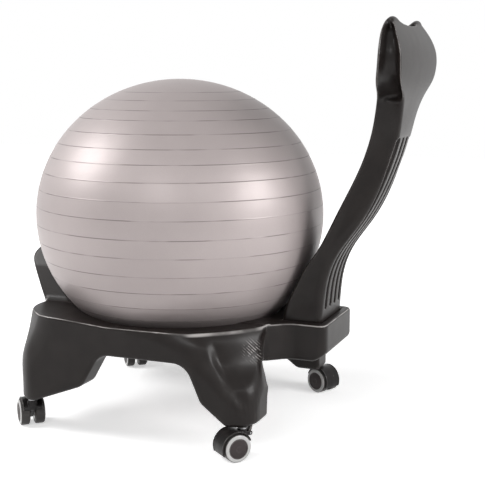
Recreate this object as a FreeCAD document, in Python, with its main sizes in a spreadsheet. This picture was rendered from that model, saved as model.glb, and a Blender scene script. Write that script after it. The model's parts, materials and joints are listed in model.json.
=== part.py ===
import FreeCAD, Part
import math
import os
import re

import Sketcher

# Balance ball chair: an inflated ball in a moulded ring on four legs with casters, and a curved backrest.
# Millimetres, +Z up, the floor at z = 0. The sitter faces -Y and the backrest stands on the +Y side.
# Every shape is drawn around the ball's upright axis; one common shift then centres the whole chair.

SIZES = {
    # Ball
    "ball_width": 550,
    "ball_height": 514,
    "ball_wall": 1.8,
    "seat_level": 203.204,
    "seat_gap": 0.4,
    "valve_bore": 9,
    "valve_neck": 18,
    "valve_depth": 16,
    "plug_flange": 15,
    "plug_flange_thickness": 1.5,
    # Moulded ring and legs
    "shell_wall": 3.5,
    "side_reach": 236,
    "corner_radius": 36,
    "rim_height": 214,
    "shoulder_height": 222,
    "opening_radius": 190,
    "opening_flare": 20,
    "foot_height": 58,
    "arch_height": 160,
    "rear_beam_bottom": 146,
    "rear_corner_top": 247,
    "rear_corner_foot": 306,
    "scoop_depth": 14,
    "scoop_top": 64,
    "scoop_foot": 20,
    "neck_reach": 147,
    "neck_turn": 23.5,
    "front_corner_top": 284,
    "front_corner_foot": 314,
    "front_seam": 118,
    "rear_seam": 116,
    "end_wall": 12,
    "spigot_line": 180,
    "spigot_length": 24,
    "spigot_depth": 36,
    "spigot_rise": 28,
    "spigot_level": 176,
    "spigot_gap": 0.3,
    # Ball guard at the front
    "guard_height": 319,
    "guard_reach": 303,
    "guard_root": 113,
    "guard_top": 54,
    # Backrest socket at the rear
    "shroud_width": 172,
    "shroud_wall": 17,
    "socket_floor": 160,
    "socket_gap": 0.4,
    # Backrest
    "column_width": 132,
    "column_waist": 106,
    "column_tuck": 41,
    "column_depth": 72,
    "waist_height": 525,
    "pad_width": 296,
    "pad_centre": 680,
    "pad_top": 750,
    "pad_bottom": 608,
    "pad_dip": 9,
    "pad_lean": 185,
    "pad_depth": 42,
    "dish_depth": 12,
    "groove_depth": 2,
    "groove_width": 14,
    "groove_pitch": 24,
    "groove_bottom": 245,
    "groove_top": 545,
    # Fasteners
    "bolt_diameter": 8,
    "bolt_spacing": 70,
    "bolt_play": 0.3,
    "bolt_head": 13,
    "bolt_head_height": 5.3,
    "bolt_length": 34,
    "washer_width": 20,
    "washer_thickness": 1.6,
    "insert_diameter": 12,
    "insert_length": 18,
    "boss_wall": 6,
    "lock_diameter": 6,
    "lock_head": 11,
    "lock_head_height": 4,
    "lock_length": 45,
    "lock_level": 190,
    "lock_play": 0.1,
    "driver_room": 40,
    # Casters
    "caster_spacing": 424,
    "caster_trail": 19,
    "wheel_diameter": 50,
    "wheel_width": 18,
    "wheel_gap": 10,
    "tyre_depth": 7,
    "tyre_round": 1.5,
    "hub_rim": 3,
    "hub_barrel": 14,
    "hub_web": 4,
    "cap_crown": 1.6,
    "axle_diameter": 6,
    "axle_end_gap": 1,
    "running_gap": 0.05,
    "web_width": 8,
    "hood_width": 38,
    "hood_gap": 1.3,
    "hood_wall": 2,
    "hood_lip": 13,
    "hood_boss": 17,
    "swivel_gap": 0.3,
    "stem_diameter": 11,
    "stem_length": 36,
    "stem_collar": 16,
    "stem_collar_thickness": 3,
    "pivot_diameter": 6,
    "pivot_length": 9,
    "sleeve_wall": 1.6,
    "sleeve_flange": 22,
    "sleeve_flange_thickness": 2,
    "ring_depth": 0.8,
    "ring_width": 2.5,
    "ring_drop": 8,
    "lever_width": 9,
    "lever_thickness": 3.5,
    "lever_rise": 12,
    "lever_forward": 13,
    "lever_pin": 3,
    "lever_play": 0.4,
    "lug_width": 2.5,
}

# What follows from those sizes: the ball's centre from the level at which its skin rests on the ring, and the
# backrest's place from how far out the ball's widest point comes.
FOLLOWING = {
    "ball_centre": "seat_level + ball_height / 2 * sqrt(1 - (2 * opening_radius / ball_width) ^ 2)",
    "column_front": "ball_width / 2 - column_tuck",
    "column_rear": "column_front + column_depth",
    "shroud_reach": "column_rear + shroud_wall",
    "pad_front": "column_front + pad_lean",
    "pad_rear": "pad_front + pad_depth",
}

# Where each caster points when the chair stands still: the way its wheels trail behind its stem, in degrees.
CASTERS = {
    "front_left": {"side": 1, "end": -1, "heading": -137, "brake": False},
    "front_right": {"side": -1, "end": -1, "heading": -140, "brake": False},
    "rear_left": {"side": 1, "end": 1, "heading": -40, "brake": True},
    "rear_right": {"side": -1, "end": 1, "heading": 63, "brake": True},
}

TALL = 900
WIDE = 400

doc = FreeCAD.newDocument("BalanceBallChair")
sheet = doc.addObject("Spreadsheet::Sheet", "Sizes")
for row, (alias, value) in enumerate(SIZES.items(), start=1):
    sheet.set(f"A{row}", alias)
    sheet.set(f"B{row}", str(value))
    sheet.setAlias(f"B{row}", alias)
doc.recompute()

Z_AXIS = FreeCAD.Vector(0, 0, 1)
subparts = []


def bound(expression):
    """The expression with each size's name written the way the document's expressions need it."""
    return re.sub(r"[a-z][a-z_]+", cell_name, expression)


def cell_name(word):
    name = word.group()
    if name in FOLLOWING:
        return "(" + bound(FOLLOWING[name]) + ")"
    return "Sizes." + name if name in SIZES else name


def number(expression):
    """The value that an expression on the sizes has now."""
    return float(sheet.evalExpression(bound(expression)))


def size(name):
    return number(name)


# Outlines with rounded corners


def rounded_wire(corners, place):
    """A closed wire through (u, v, radius) corners; place(u, v) puts a flat point in space."""
    count = len(corners)
    starts = []
    ends = []
    middles = []
    for index in range(count):
        u, v, radius = corners[index]
        here = FreeCAD.Vector(u, v, 0)
        before = FreeCAD.Vector(*corners[index - 1][:2], 0) - here
        after = FreeCAD.Vector(*corners[(index + 1) % count][:2], 0) - here
        before.normalize()
        after.normalize()
        half = before.getAngle(after) / 2
        reach = radius / math.tan(half)
        starts.append(here + before * reach)
        ends.append(here + after * reach)
        bisector = (before + after).normalize() if radius else FreeCAD.Vector()
        middles.append(here + bisector * (radius / math.sin(half) - radius))
    edges = []
    for index in range(count):
        start, middle, end = (place(p.x, p.y) for p in (starts[index], middles[index], ends[index]))
        if corners[index][2]:
            edges.append(Part.Arc(start, middle, end).toShape())
        following = starts[(index + 1) % count]
        edges.append(Part.makeLine(end, place(following.x, following.y)))
    return Part.Wire(edges)


def on_side(u, v):
    return FreeCAD.Vector(0, u, v)


def on_front(u, v):
    return FreeCAD.Vector(u, 0, v)


def on_plan(u, v):
    return FreeCAD.Vector(u, v, 0)


def grown(face, amount):
    """The face with its outline moved out by amount, or in where amount is negative."""
    if amount == 0:
        return face
    return face.makeOffset2D(amount)


def prism(face, start, way):
    """The face moved to start and extruded along way."""
    return face.translated(FreeCAD.Vector(*start)).extrude(FreeCAD.Vector(*way))


def ball_solid(grow):
    """The ball's ellipsoid with its surface moved out by grow."""
    wide = size("ball_width") / 2 + grow
    tall = size("ball_height") / 2 + grow
    centre = FreeCAD.Vector(0, 0, size("ball_centre"))
    widest = centre + FreeCAD.Vector(wide, 0, 0)
    top = centre + Z_AXIS * tall
    if wide >= tall:
        half = Part.Ellipse(widest, top, centre).toShape(-math.pi / 2, math.pi / 2)
    else:
        half = Part.Ellipse(top, widest, centre).toShape(0, math.pi)
    closing = Part.makeLine(centre + Z_AXIS * tall, centre - Z_AXIS * tall)
    return Part.Face(Part.Wire([half, closing])).revolve(FreeCAD.Vector(), Z_AXIS, 360)


# The moulded frame: ring, legs, guard and backrest socket, drawn as one skin and then split at its seams


def side_silhouette():
    """Seen from the side: shoulders at the front, the flat rim and the arch between the legs."""
    foot = size("foot_height")
    arch = size("arch_height")
    return Part.Face(
        rounded_wire(
            [
                (-WIDE, size("shoulder_height"), 0),
                (-140, size("shoulder_height"), 150),
                (-40, size("rim_height"), 150),
                (WIDE, size("rim_height"), 0),
                (WIDE, foot, 0),
                (188, foot, 20),
                (141, foot + 36, 22),
                (113, arch, 36),
                (-56, arch, 34),
                (-94, foot + 39, 28),
                (-196, foot, 30),
                (-WIDE, foot, 0),
            ],
            on_side,
        )
    )


def arch_opening(top, shoulder, knee, foot):
    """The open arch between two legs, seen from the front: half widths at its top, knee and foot."""
    low = size("foot_height")
    half = [(foot, low, 20), (knee, low + 38, 22), (shoulder, top, 30)]
    left = [(-u, v, radius) for u, v, radius in reversed(half)]
    return Part.Face(rounded_wire([(foot, -20, 0)] + half + left + [(-foot, -20, 0)], on_front))


def outside_corner(top_radius, foot_radius, top_height):
    """What lies outside the sloping corner of a leg, as a flat outline to turn round the ball's axis."""
    foot = size("foot_height")
    return Part.Face(
        rounded_wire(
            [
                (top_radius, 300, 0),
                (top_radius, top_height, 20),
                (foot_radius, foot + 47, 25),
                (foot_radius + 20, foot + 36, 10),
                (foot_radius + 20, -20, 0),
                (WIDE, -20, 0),
                (WIDE, 300, 0),
            ],
            on_front,
        )
    )


def turned_half(face, end):
    """The outline turned half a circle round the ball's axis, on the front (-1) or the rear (1)."""
    return face.revolve(FreeCAD.Vector(), Z_AXIS, 180 * end)


def ring_opening(inset):
    """The space inside the ring: straight under the seat, and wider towards the feet."""
    narrow = size("opening_radius") + inset
    wide = narrow + size("opening_flare")
    outline = [(0, -20), (wide, -20), (wide, size("foot_height")), (narrow, 185), (narrow, 300), (0, 300)]
    outline.append(outline[0])
    face = Part.Face(Part.makePolygon([on_front(*p) for p in outline]))
    return face.revolve(FreeCAD.Vector(), Z_AXIS, 360)


def ring_and_legs(inset):
    reach = size("side_reach")
    corner = size("corner_radius")
    square = [(u * reach, v * reach, corner) for u, v in ((1, -1), (1, 1), (-1, 1), (-1, -1))]
    plan = Part.Face(rounded_wire(square, on_plan))
    skin = prism(grown(plan, -inset), (0, 0, 0), (0, 0, 300))
    skin = skin.common(prism(grown(side_silhouette(), -inset), (-WIDE, 0, 0), (2 * WIDE, 0, 0)))
    front_arch = arch_opening(size("arch_height"), 56, 94, 196)
    rear_arch = arch_opening(size("rear_beam_bottom"), 122, 146, 149)
    skin = skin.cut(prism(grown(front_arch, inset), (0, -WIDE, 0), (0, WIDE, 0)))
    skin = skin.cut(prism(grown(rear_arch, inset), (0, 0, 0), (0, WIDE, 0)))
    rim = size("rim_height")
    shoulder = size("shoulder_height")
    rear_corner = outside_corner(size("rear_corner_top"), size("rear_corner_foot"), rim)
    front_corner = outside_corner(size("front_corner_top"), size("front_corner_foot"), shoulder)
    for side in (-1, 1):
        skin = skin.cut(neck_hollow(side, inset))
    skin = skin.cut(turned_half(grown(rear_corner, inset), 1))
    skin = skin.cut(turned_half(grown(front_corner, inset), -1))
    return skin.cut(ring_opening(inset))


def neck_hollow(side, grow):
    """Where the rear wall draws in between a rear leg and the backrest's socket."""
    reach = size("neck_reach")
    rim = size("rim_height")
    foot = size("foot_height")
    turn = math.radians(size("neck_turn"))
    outward = FreeCAD.Vector(-side * math.sin(turn), math.cos(turn), 0)
    along = FreeCAD.Vector(side * math.cos(turn), math.sin(turn), 0)
    section = [(reach + 17, rim + 1, 0), (reach + 4, rim - 16, 20), (reach, rim - 44, 40)]
    section += [(reach, foot + 84, 40), (reach + 11, foot + 40, 0), (WIDE, foot + 40, 0), (WIDE, rim + 1, 0)]
    face = Part.Face(rounded_wire(section, lambda u, v: outward * u + Z_AXIS * v))
    return prism(grown(face, grow), along * reach * 0.95, along * WIDE)


def on_diagonal(u, v):
    """A point of the upright plane that faces the left rear leg's outer corner."""
    return FreeCAD.Vector(-u / math.sqrt(2), u / math.sqrt(2), v)


def rear_scoop(grow):
    """The hollow down the outer corner of the left rear leg, with one wall, towards the side of the chair."""
    rim = size("rim_height")
    knee = size("foot_height") + 48
    middle = (rim + knee) / 2
    top = size("rear_corner_top")
    ridge = (top + size("rear_corner_foot")) / 2
    floor = Part.Face(
        rounded_wire(
            [
                (top, 300, 0),
                (top, rim - 8, 20),
                (ridge - size("scoop_depth") + 5, middle - 10, 50),
                (size("rear_corner_foot"), knee, 0),
                (WIDE, knee, 0),
                (WIDE, 300, 0),
            ],
            on_front,
        )
    )
    wide = size("scoop_top")
    narrow = size("scoop_foot")
    wall = [(-wide, 300, 0), (-wide, rim, 20), (2 - (wide + narrow) / 2, middle, 80), (-narrow, knee - 2, 14)]
    outline = [(WIDE / 2, knee - 2, 0), (WIDE / 2, 300, 0)] + wall
    across = grown(Part.Face(rounded_wire(outline, on_diagonal)), grow)
    turned = grown(floor, grow).revolve(FreeCAD.Vector(), Z_AXIS, 90)
    return turned.common(prism(across, (0, 0, 0), (WIDE, WIDE, 0)))


def guard(inset):
    """The raised guard at the front, leaning out with the ball."""
    top = size("guard_height")
    reach = size("guard_reach")
    root = size("guard_root")
    beam = size("side_reach")
    profile = Part.Face(
        rounded_wire(
            [
                (size("opening_radius"), size("arch_height"), 0),
                (beam - 6, size("arch_height"), 0),
                (beam + 30, size("shoulder_height") - 2, 60),
                (reach + 1, top - 19, 18),
                (reach - 16, top, 12),
                (reach - 50, top, 0),
                (size("opening_radius"), size("rim_height"), 0),
            ],
            on_front,
        )
    )
    turned = grown(profile, -inset).revolve(FreeCAD.Vector(), Z_AXIS, -180)
    half = [(root, size("arch_height"), 0), (root, size("shoulder_height"), 20)]
    half += [(size("guard_top") + 28, top - 36, 40), (size("guard_top"), top + 2, 22)]
    outline = half + [(-u, v, radius) for u, v, radius in reversed(half)]
    front_view = Part.Face(rounded_wire(outline, on_front))
    return turned.common(prism(grown(front_view, -inset), (0, -WIDE, 0), (0, WIDE, 0)))


def shroud(inset):
    """The block at the rear that holds the foot of the backrest."""
    half = size("shroud_width") / 2
    seam = size("rear_seam")
    reach = size("shroud_reach")
    right = [(seam, 175, 0), (seam, 218, 0), (half, 252, 34), (half, reach, 18)]
    plan = Part.Face(rounded_wire(right + [(-u, v, radius) for u, v, radius in reversed(right)], on_plan))
    side = Part.Face(
        rounded_wire(
            [
                (150, size("rear_beam_bottom"), 0),
                (reach - 24, size("rear_beam_bottom"), 20),
                (reach, size("rear_beam_bottom") + 16, 10),
                (reach, size("rim_height"), 6),
                (150, size("rim_height"), 0),
            ],
            on_side,
        )
    )
    block = prism(grown(plan, -inset), (0, 0, 0), (0, 0, 300))
    block = block.common(prism(grown(side, -inset), (-WIDE, 0, 0), (2 * WIDE, 0, 0)))
    return block.cut(ring_opening(inset))


def socket(grow):
    """The pocket in the shroud for the foot of the backrest."""
    half = size("column_width") / 2 + grow
    low = size("socket_floor") - grow + size("socket_gap")
    front = size("column_front") - grow
    rear = size("column_rear") + grow
    return Part.makeBox(2 * half, rear - front, 300 - low, FreeCAD.Vector(-half, front, low))


def slab(low_x, high_x, low_y, high_y):
    return Part.makeBox(high_x - low_x, high_y - low_y, TALL, FreeCAD.Vector(low_x, low_y, -20))


def upright(radius, x, y, low, high):
    return Part.makeCylinder(radius, high - low, FreeCAD.Vector(x, y, low))


def spigot(end, side, grow):
    """The solid peg at the end of a cross piece that plugs into a side frame."""
    seam = size("front_seam") if end < 0 else size("rear_seam")
    long = size("spigot_length") + grow
    deep = size("spigot_depth") + 2 * grow
    rise = size("spigot_rise") + 2 * grow
    low_x = seam if side > 0 else -seam - long
    low_y = end * size("spigot_line") - deep / 2
    return Part.makeBox(long, deep, rise, FreeCAD.Vector(low_x, low_y, size("spigot_level") - grow))


def lock_start(end, side):
    """Where a locking screw's head starts, just inside the ring's inner wall."""
    seam = size("front_seam") if end < 0 else size("rear_seam")
    x = side * (seam + size("spigot_length") / 2)
    inner = math.sqrt(size("opening_radius") ** 2 - x**2)
    return FreeCAD.Vector(x, end * (inner + size("shell_wall")), size("lock_level"))


def lock_screw(end, side, play, reach):
    """A locking screw driven outwards from the ring's inner side; play and reach widen it into its hole."""
    start = lock_start(end, side)
    way = FreeCAD.Vector(0, end, 0)
    head_radius = size("lock_head") / 2 + play
    head = Part.makeCylinder(head_radius, size("lock_head_height") + reach, start - way * reach, way)
    length = size("lock_length") + size("lock_head_height") + play
    return head.fuse(Part.makeCylinder(size("lock_diameter") / 2 + play, length, start, way))


def lock_boss(end, side):
    """Solid plastic round a locking screw, from the inner wall to the spigot."""
    start = lock_start(end, side)
    way = FreeCAD.Vector(0, end, 0)
    radius = size("lock_head") / 2 + size("shell_wall")
    return Part.makeCylinder(radius, size("lock_length") + 20, start - way * 10, way)


def stem_place(side, end):
    return side * size("caster_spacing") / 2, end * size("caster_spacing") / 2


def sleeve_radius():
    return size("stem_diameter") / 2 + size("running_gap") + size("sleeve_wall")


def half_of(shape, end, width):
    """What a cross piece takes of a shape: its stretch between the two seams at one end."""
    low = -WIDE if end < 0 else 0
    return shape.common(slab(-width, width, low, low + WIDE))


def side_frame():
    """The left side frame; the right one is its mirror image."""
    skin = ring_and_legs(0).cut(rear_scoop(0))
    void = ring_and_legs(size("shell_wall")).cut(rear_scoop(size("shell_wall")))
    middle = slab(-size("front_seam"), size("front_seam"), -WIDE, 0)
    middle = middle.fuse(slab(-size("rear_seam"), size("rear_seam"), 0, WIDE))
    other_side = slab(-WIDE, 0, -WIDE, WIDE)
    shell = skin.cut(middle).cut(other_side).cut(ball_solid(size("seat_gap")))
    void = void.cut(other_side).cut(ball_solid(size("seat_gap") + size("shell_wall")))
    wall = size("end_wall")
    void = void.cut(slab(-size("front_seam") - wall, size("front_seam") + wall, -WIDE, 0))
    void = void.cut(slab(-size("rear_seam") - wall, size("rear_seam") + wall, 0, WIDE))
    for end in (-1, 1):
        x, y = stem_place(1, end)
        depth = size("foot_height") + size("stem_length")
        void = void.cut(upright(sleeve_radius() + size("boss_wall"), x, y, 0, depth + size("boss_wall")))
        void = void.cut(spigot(end, 1, size("boss_wall")))
        void = void.cut(lock_boss(end, 1))
    shell = shell.cut(void)
    for end in (-1, 1):
        x, y = stem_place(1, end)
        bore = sleeve_radius() + size("running_gap")
        shell = shell.cut(upright(bore, x, y, 0, size("foot_height") + size("stem_length")))
        shell = shell.cut(spigot(end, 1, size("spigot_gap")))
        shell = shell.cut(lock_screw(end, 1, size("lock_play"), size("driver_room")))
    return shell


def cross_piece(end, extra, seam):
    """A cross piece: its stretch of the ring joined to the guard or the shroud, hollow, with two spigots."""
    wall = size("shell_wall")
    skin = half_of(ring_and_legs(0), end, seam).fuse(extra(0))
    void = half_of(ring_and_legs(wall), end, seam - size("end_wall")).fuse(
        half_of(extra(wall), end, seam - size("end_wall"))
    )
    skin = half_of(skin, end, seam).cut(ball_solid(size("seat_gap")))
    void = void.cut(ball_solid(size("seat_gap") + wall))
    return skin, void


def with_spigots(shell, end):
    for side in (-1, 1):
        shell = shell.fuse(spigot(end, side, 0))
        shell = shell.cut(lock_screw(end, side, size("lock_play"), size("driver_room")))
    return shell.removeSplitter()


def front_cross_piece():
    skin, void = cross_piece(-1, guard, size("front_seam"))
    return with_spigots(skin.cut(void), -1)


def bolt_places():
    middle = (size("column_front") + size("column_rear")) / 2
    return [(side * size("bolt_spacing") / 2, middle) for side in (-1, 1)]


def rear_cross_piece():
    skin, void = cross_piece(1, shroud, size("rear_seam"))
    void = void.cut(socket(size("socket_gap") + size("shell_wall")))
    low = size("rear_beam_bottom")
    hole = size("bolt_diameter") / 2 + size("bolt_play")
    for x, y in bolt_places():
        void = void.cut(upright(hole + size("boss_wall"), x, y, low, size("socket_floor")))
    shell = skin.cut(void).cut(socket(size("socket_gap")))
    for x, y in bolt_places():
        shell = shell.cut(upright(hole, x, y, low - 1, size("socket_floor") + 1))
    return with_spigots(shell, 1)


# The backrest: one hollow moulding, drawn as its side view crossed with its rear view

# Points of its front and rear curves, as how far behind the column's foot they lie and their height
FRONT_CURVE = [(20, 272), (47, 325), (78, 384), (132, 490), (160, 580)]
REAR_CURVE = [(6, 285), (46, 365), (113, 490), (139, 590)]


def curve(points, place):
    spline = Part.BSplineCurve()
    spline.interpolate([place(*p) for p in points])
    return spline.toShape()


def moved_left(points, amount):
    """The points of a smooth curve, each moved to the left of the way that the curve runs there."""
    spline = Part.BSplineCurve()
    spline.interpolate([on_plan(*p) for p in points])
    moved = []
    for point in points:
        tangent = spline.tangent(spline.parameter(on_plan(*point)))[0]
        moved.append((point[0] - tangent.y * amount, point[1] + tangent.x * amount))
    return moved


def side_points(foot, bends, pad, top):
    """The points of one curve of the side view, from the foot of the column at y = foot to the pad's top."""
    points = [(foot, size("rim_height"))] + [(foot + behind, height) for behind, height in bends]
    return points + [(pad, size("pad_centre")), (top, size("pad_top"))]


def front_points():
    return side_points(size("column_front"), FRONT_CURVE, size("pad_front"), size("pad_front") + 3)


def rear_points():
    return side_points(size("column_rear"), REAR_CURVE, size("pad_rear"), size("pad_rear") - 31)


def backrest_side_view(inset):
    low = size("socket_floor") + inset
    top = size("pad_top") - inset
    front = moved_left(front_points(), -inset)
    rear = moved_left(rear_points(), inset)
    front[-1] = (front[-1][0], top)
    rear[-1] = (rear[-1][0], top)
    edges = [curve(front, on_side), curve(rear, on_side)]
    edges.append(Part.makeLine(on_side(*front[-1]), on_side(*rear[-1])))
    foot = [front[0], (front[0][0], low), (rear[0][0], low), rear[0]]
    edges += [Part.makeLine(on_side(*a), on_side(*b)) for a, b in zip(foot, foot[1:])]
    return Part.Face(Part.Wire(Part.sortEdges(edges)[0]))


def backrest_rear_view(inset):
    rim = size("rim_height")
    low = size("socket_floor") + inset
    half = size("column_width") / 2
    waist = size("column_waist") / 2
    pad = size("pad_width") / 2
    centre = size("pad_centre")
    top = size("pad_top")
    bottom = size("pad_bottom")
    right = [(half, rim), (half, 330), (half - 4, 430), (waist, size("waist_height"))]
    right += [(waist + 16, bottom - 18)]
    right += [(pad - 44, bottom + 15), (pad - 8, centre - 32), (pad, centre), (pad - 9, centre + 33)]
    right += [(pad - 44, top - 1), (pad - 98, top - 5)]
    ridge = right + [(0, top - size("pad_dip"))] + [(-u, v) for u, v in reversed(right)]
    ridge = moved_left(ridge, inset)
    edges = [curve(ridge, on_front)]
    foot = [ridge[0], (ridge[0][0], low), (ridge[-1][0], low), ridge[-1]]
    edges += [Part.makeLine(on_front(*a), on_front(*b)) for a, b in zip(foot, foot[1:])]
    return Part.Face(Part.Wire(Part.sortEdges(edges)[0]))


def dish(side, grow):
    """The hollow scooped out of an end of the pad."""
    matrix = FreeCAD.Matrix()
    thick = size("pad_rear") - size("pad_front")
    matrix.scale(size("dish_depth") + grow, thick / 2 - 5 + grow, 50 + grow)
    middle = (size("pad_rear") + size("pad_front")) / 2
    matrix.move(FreeCAD.Vector(side * size("pad_width") / 2, middle, size("pad_centre") + 2))
    return Part.makeSphere(1).transformGeometry(matrix)


def groove_band():
    """A thin band along the backrest's rear face, reaching as deep under it as the grooves."""
    inner = moved_left(rear_points(), size("groove_depth"))
    outer = moved_left(rear_points(), -10)
    edges = [curve(inner, on_side), curve(outer, on_side)]
    edges += [Part.makeLine(on_side(*inner[end]), on_side(*outer[end])) for end in (0, -1)]
    return Part.Face(Part.Wire(Part.sortEdges(edges)[0]))


def backrest():
    wall = size("shell_wall")
    body = prism(backrest_side_view(0), (-WIDE, 0, 0), (2 * WIDE, 0, 0))
    body = body.common(prism(backrest_rear_view(0), (0, 0, 0), (0, 2 * WIDE, 0)))
    void = prism(backrest_side_view(wall), (-WIDE, 0, 0), (2 * WIDE, 0, 0))
    void = void.common(prism(backrest_rear_view(wall), (0, 0, 0), (0, 2 * WIDE, 0)))
    for side in (-1, 1):
        body = body.cut(dish(side, 0))
        void = void.cut(dish(side, wall))
    low = size("socket_floor")
    boss = size("insert_diameter") / 2 + size("boss_wall")
    for x, y in bolt_places():
        void = void.cut(upright(boss, x, y, low, low + size("insert_length") + size("boss_wall") + 4))
    body = body.cut(void)
    for x, y in bolt_places():
        body = body.cut(upright(size("insert_diameter") / 2, x, y, low - 1, low + size("insert_length")))
        tip = size("bolt_diameter") / 2 + size("bolt_play")
        body = body.cut(upright(tip, x, y, low - 1, low + size("insert_length") + 4))
    band = groove_band()
    for index in range(4):
        x = (index - 1.5) * size("groove_pitch") - size("groove_width") / 2
        groove = prism(band, (x, 0, 0), (size("groove_width"), 0, 0))
        window = Part.makeBox(WIDE, 2 * WIDE, size("groove_top") - size("groove_bottom"))
        window.translate(FreeCAD.Vector(-WIDE / 2, 0, size("groove_bottom")))
        body = body.cut(groove.common(window))
    return body


# Bodies drawn from sketches, with every dimension bound to the sheet


def new_body(label):
    body = doc.addObject("PartDesign::Body", label)
    body.Label = label
    subparts.append(body)
    return body


def sketch_on(body, role, height="0"):
    """A sketch on one of the body's origin planes, lifted by height off that plane."""
    plane = next(item for item in body.Origin.OriginFeatures if item.Role == role)
    drawing = body.newObject("Sketcher::SketchObject", "Sketch")
    drawing.AttachmentSupport = [(plane, "")]
    drawing.MapMode = "FlatFace"
    if height != "0":
        drawing.setExpression("AttachmentOffset.Base.z", bound(height))
    return drawing


def pin_down(drawing, kind, geometry, point, expression):
    """Hold a point of the sketch at a distance from the origin that the sheet gives."""
    value = number(expression)
    if abs(value) < 1e-9:
        axis = -2 if kind == "DistanceX" else -1
        drawing.addConstraint(Sketcher.Constraint("PointOnObject", geometry, point, axis))
        return
    index = drawing.addConstraint(Sketcher.Constraint(kind, -1, 1, geometry, point, value))
    drawing.setExpression(f"Constraints[{index}]", bound(expression))


def add_circle(drawing, across, up, radius):
    centre = FreeCAD.Vector(number(across), number(up), 0)
    value = number(radius)
    geometry = drawing.addGeometry(Part.Circle(centre, Z_AXIS, value))
    pin_down(drawing, "DistanceX", geometry, 3, across)
    pin_down(drawing, "DistanceY", geometry, 3, up)
    index = drawing.addConstraint(Sketcher.Constraint("Radius", geometry, value))
    drawing.setExpression(f"Constraints[{index}]", bound(radius))


def add_outline(drawing, corners):
    """A closed outline of straight lines through corners given as pairs of expressions."""
    points = [FreeCAD.Vector(number(u), number(v), 0) for u, v in corners]
    count = len(points)
    lines = [drawing.addGeometry(Part.LineSegment(points[i], points[(i + 1) % count])) for i in range(count)]
    for i in range(count):
        drawing.addConstraint(Sketcher.Constraint("Coincident", lines[i], 2, lines[(i + 1) % count], 1))
        pin_down(drawing, "DistanceX", lines[i], 1, corners[i][0])
        pin_down(drawing, "DistanceY", lines[i], 1, corners[i][1])


def turned(body, corners):
    """Turn an outline of (radius, height) corners round the body's own upright axis."""
    drawing = sketch_on(body, "XZ_Plane")
    add_outline(drawing, corners)
    feature = body.newObject("PartDesign::Revolution", "Turned")
    feature.Profile = drawing
    feature.ReferenceAxis = (drawing, ["V_Axis"])
    feature.Angle = 360
    return feature


def extruded(body, kind, drawing, length, both_ways=True, away=False):
    """A pad or a pocket of a sketch, half each way from its plane or all to one side."""
    feature = body.newObject("PartDesign::" + kind, kind)
    feature.Profile = drawing
    feature.SideType = "Symmetric" if both_ways else "One side"
    feature.Reversed = away
    feature.setExpression("Length", bound(length))
    return feature


def plain_shape(label, shape):
    """A sub-part whose shape is worked out above, from the sheet's sizes."""
    item = doc.addObject("Part::Feature", label)
    item.Label = label
    item.Shape = shape
    subparts.append(item)
    return item


# The ball and its plug


def ball():
    solids = {}
    for name, inset in (("Outer", "0"), ("Inner", "ball_wall")):
        solid = doc.addObject("Part::Ellipsoid", "Ball" + name)
        solid.setExpression("Radius1", bound(f"ball_height / 2 - {inset}"))
        solid.setExpression("Radius2", bound(f"ball_width / 2 - {inset}"))
        solid.setExpression("Radius3", bound(f"ball_width / 2 - {inset}"))
        solid.setExpression("Placement.Base.z", bound("ball_centre"))
        solids[name] = solid
    valve = (("Neck", "valve_neck", "ball_wall / 2"), ("Bore", "valve_bore", "0 - ball_wall"))
    for name, width, start in valve:
        solid = doc.addObject("Part::Cylinder", "Valve" + name)
        solid.setExpression("Radius", bound(f"{width} / 2"))
        solid.setExpression("Height", bound(f"valve_depth - ({start})"))
        solid.setExpression("Placement.Base.z", bound(f"ball_centre - ball_height / 2 + {start}"))
        solids[name] = solid
    skin = combined("Part::Cut", "BallSkin", solids["Outer"], solids["Inner"])
    whole = combined("Part::Fuse", "BallWithNeck", skin, solids["Neck"])
    item = combined("Part::Cut", "exercise_ball", whole, solids["Bore"])
    item.Label = "exercise_ball"
    subparts.append(item)


def combined(kind, name, base, tool):
    item = doc.addObject(kind, name)
    item.Base = base
    item.Tool = tool
    return item


def valve_plug():
    body = new_body("valve_plug")
    bottom = "ball_centre - ball_height / 2"
    shank = "valve_bore / 2 - running_gap"
    turned(
        body,
        [
            ("0", f"{bottom} - plug_flange_thickness"),
            ("plug_flange / 2", f"{bottom} - plug_flange_thickness"),
            ("plug_flange / 2", bottom),
            (shank, bottom),
            (shank, f"{bottom} + valve_depth - 2"),
            ("0", f"{bottom} + valve_depth - 2"),
        ],
    )


# Fasteners, each drawn once and set out in groups


def bolt():
    body = doc.addObject("PartDesign::Body", "BoltPattern")
    drawing = sketch_on(body, "XY_Plane")
    corner = "bolt_head / 2"
    flat = "bolt_head * 0.288675"
    corners = [(corner, flat), ("0", "bolt_head * 0.57735"), (f"0 - {corner}", flat)]
    corners += [(u, f"0 - {v}") for u, v in reversed(corners)]
    add_outline(drawing, corners)
    extruded(body, "Pad", drawing, "bolt_head_height", both_ways=False)
    shank = sketch_on(body, "XY_Plane", "bolt_head_height")
    add_circle(shank, "0", "0", "bolt_diameter / 2")
    extruded(body, "Pad", shank, "bolt_length", both_ways=False)
    return body


def tube(name, outer, inner, length):
    body = doc.addObject("PartDesign::Body", name)
    drawing = sketch_on(body, "XY_Plane")
    add_circle(drawing, "0", "0", outer)
    add_circle(drawing, "0", "0", inner)
    extruded(body, "Pad", drawing, length, both_ways=False)
    return body


def group(label, pattern, places):
    """Identical pieces in one node: copies of the pattern at the given places."""
    copies = [pattern.Shape.translated(FreeCAD.Vector(*place)) for place in places]
    plain_shape(label, Part.makeCompound(copies))


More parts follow.
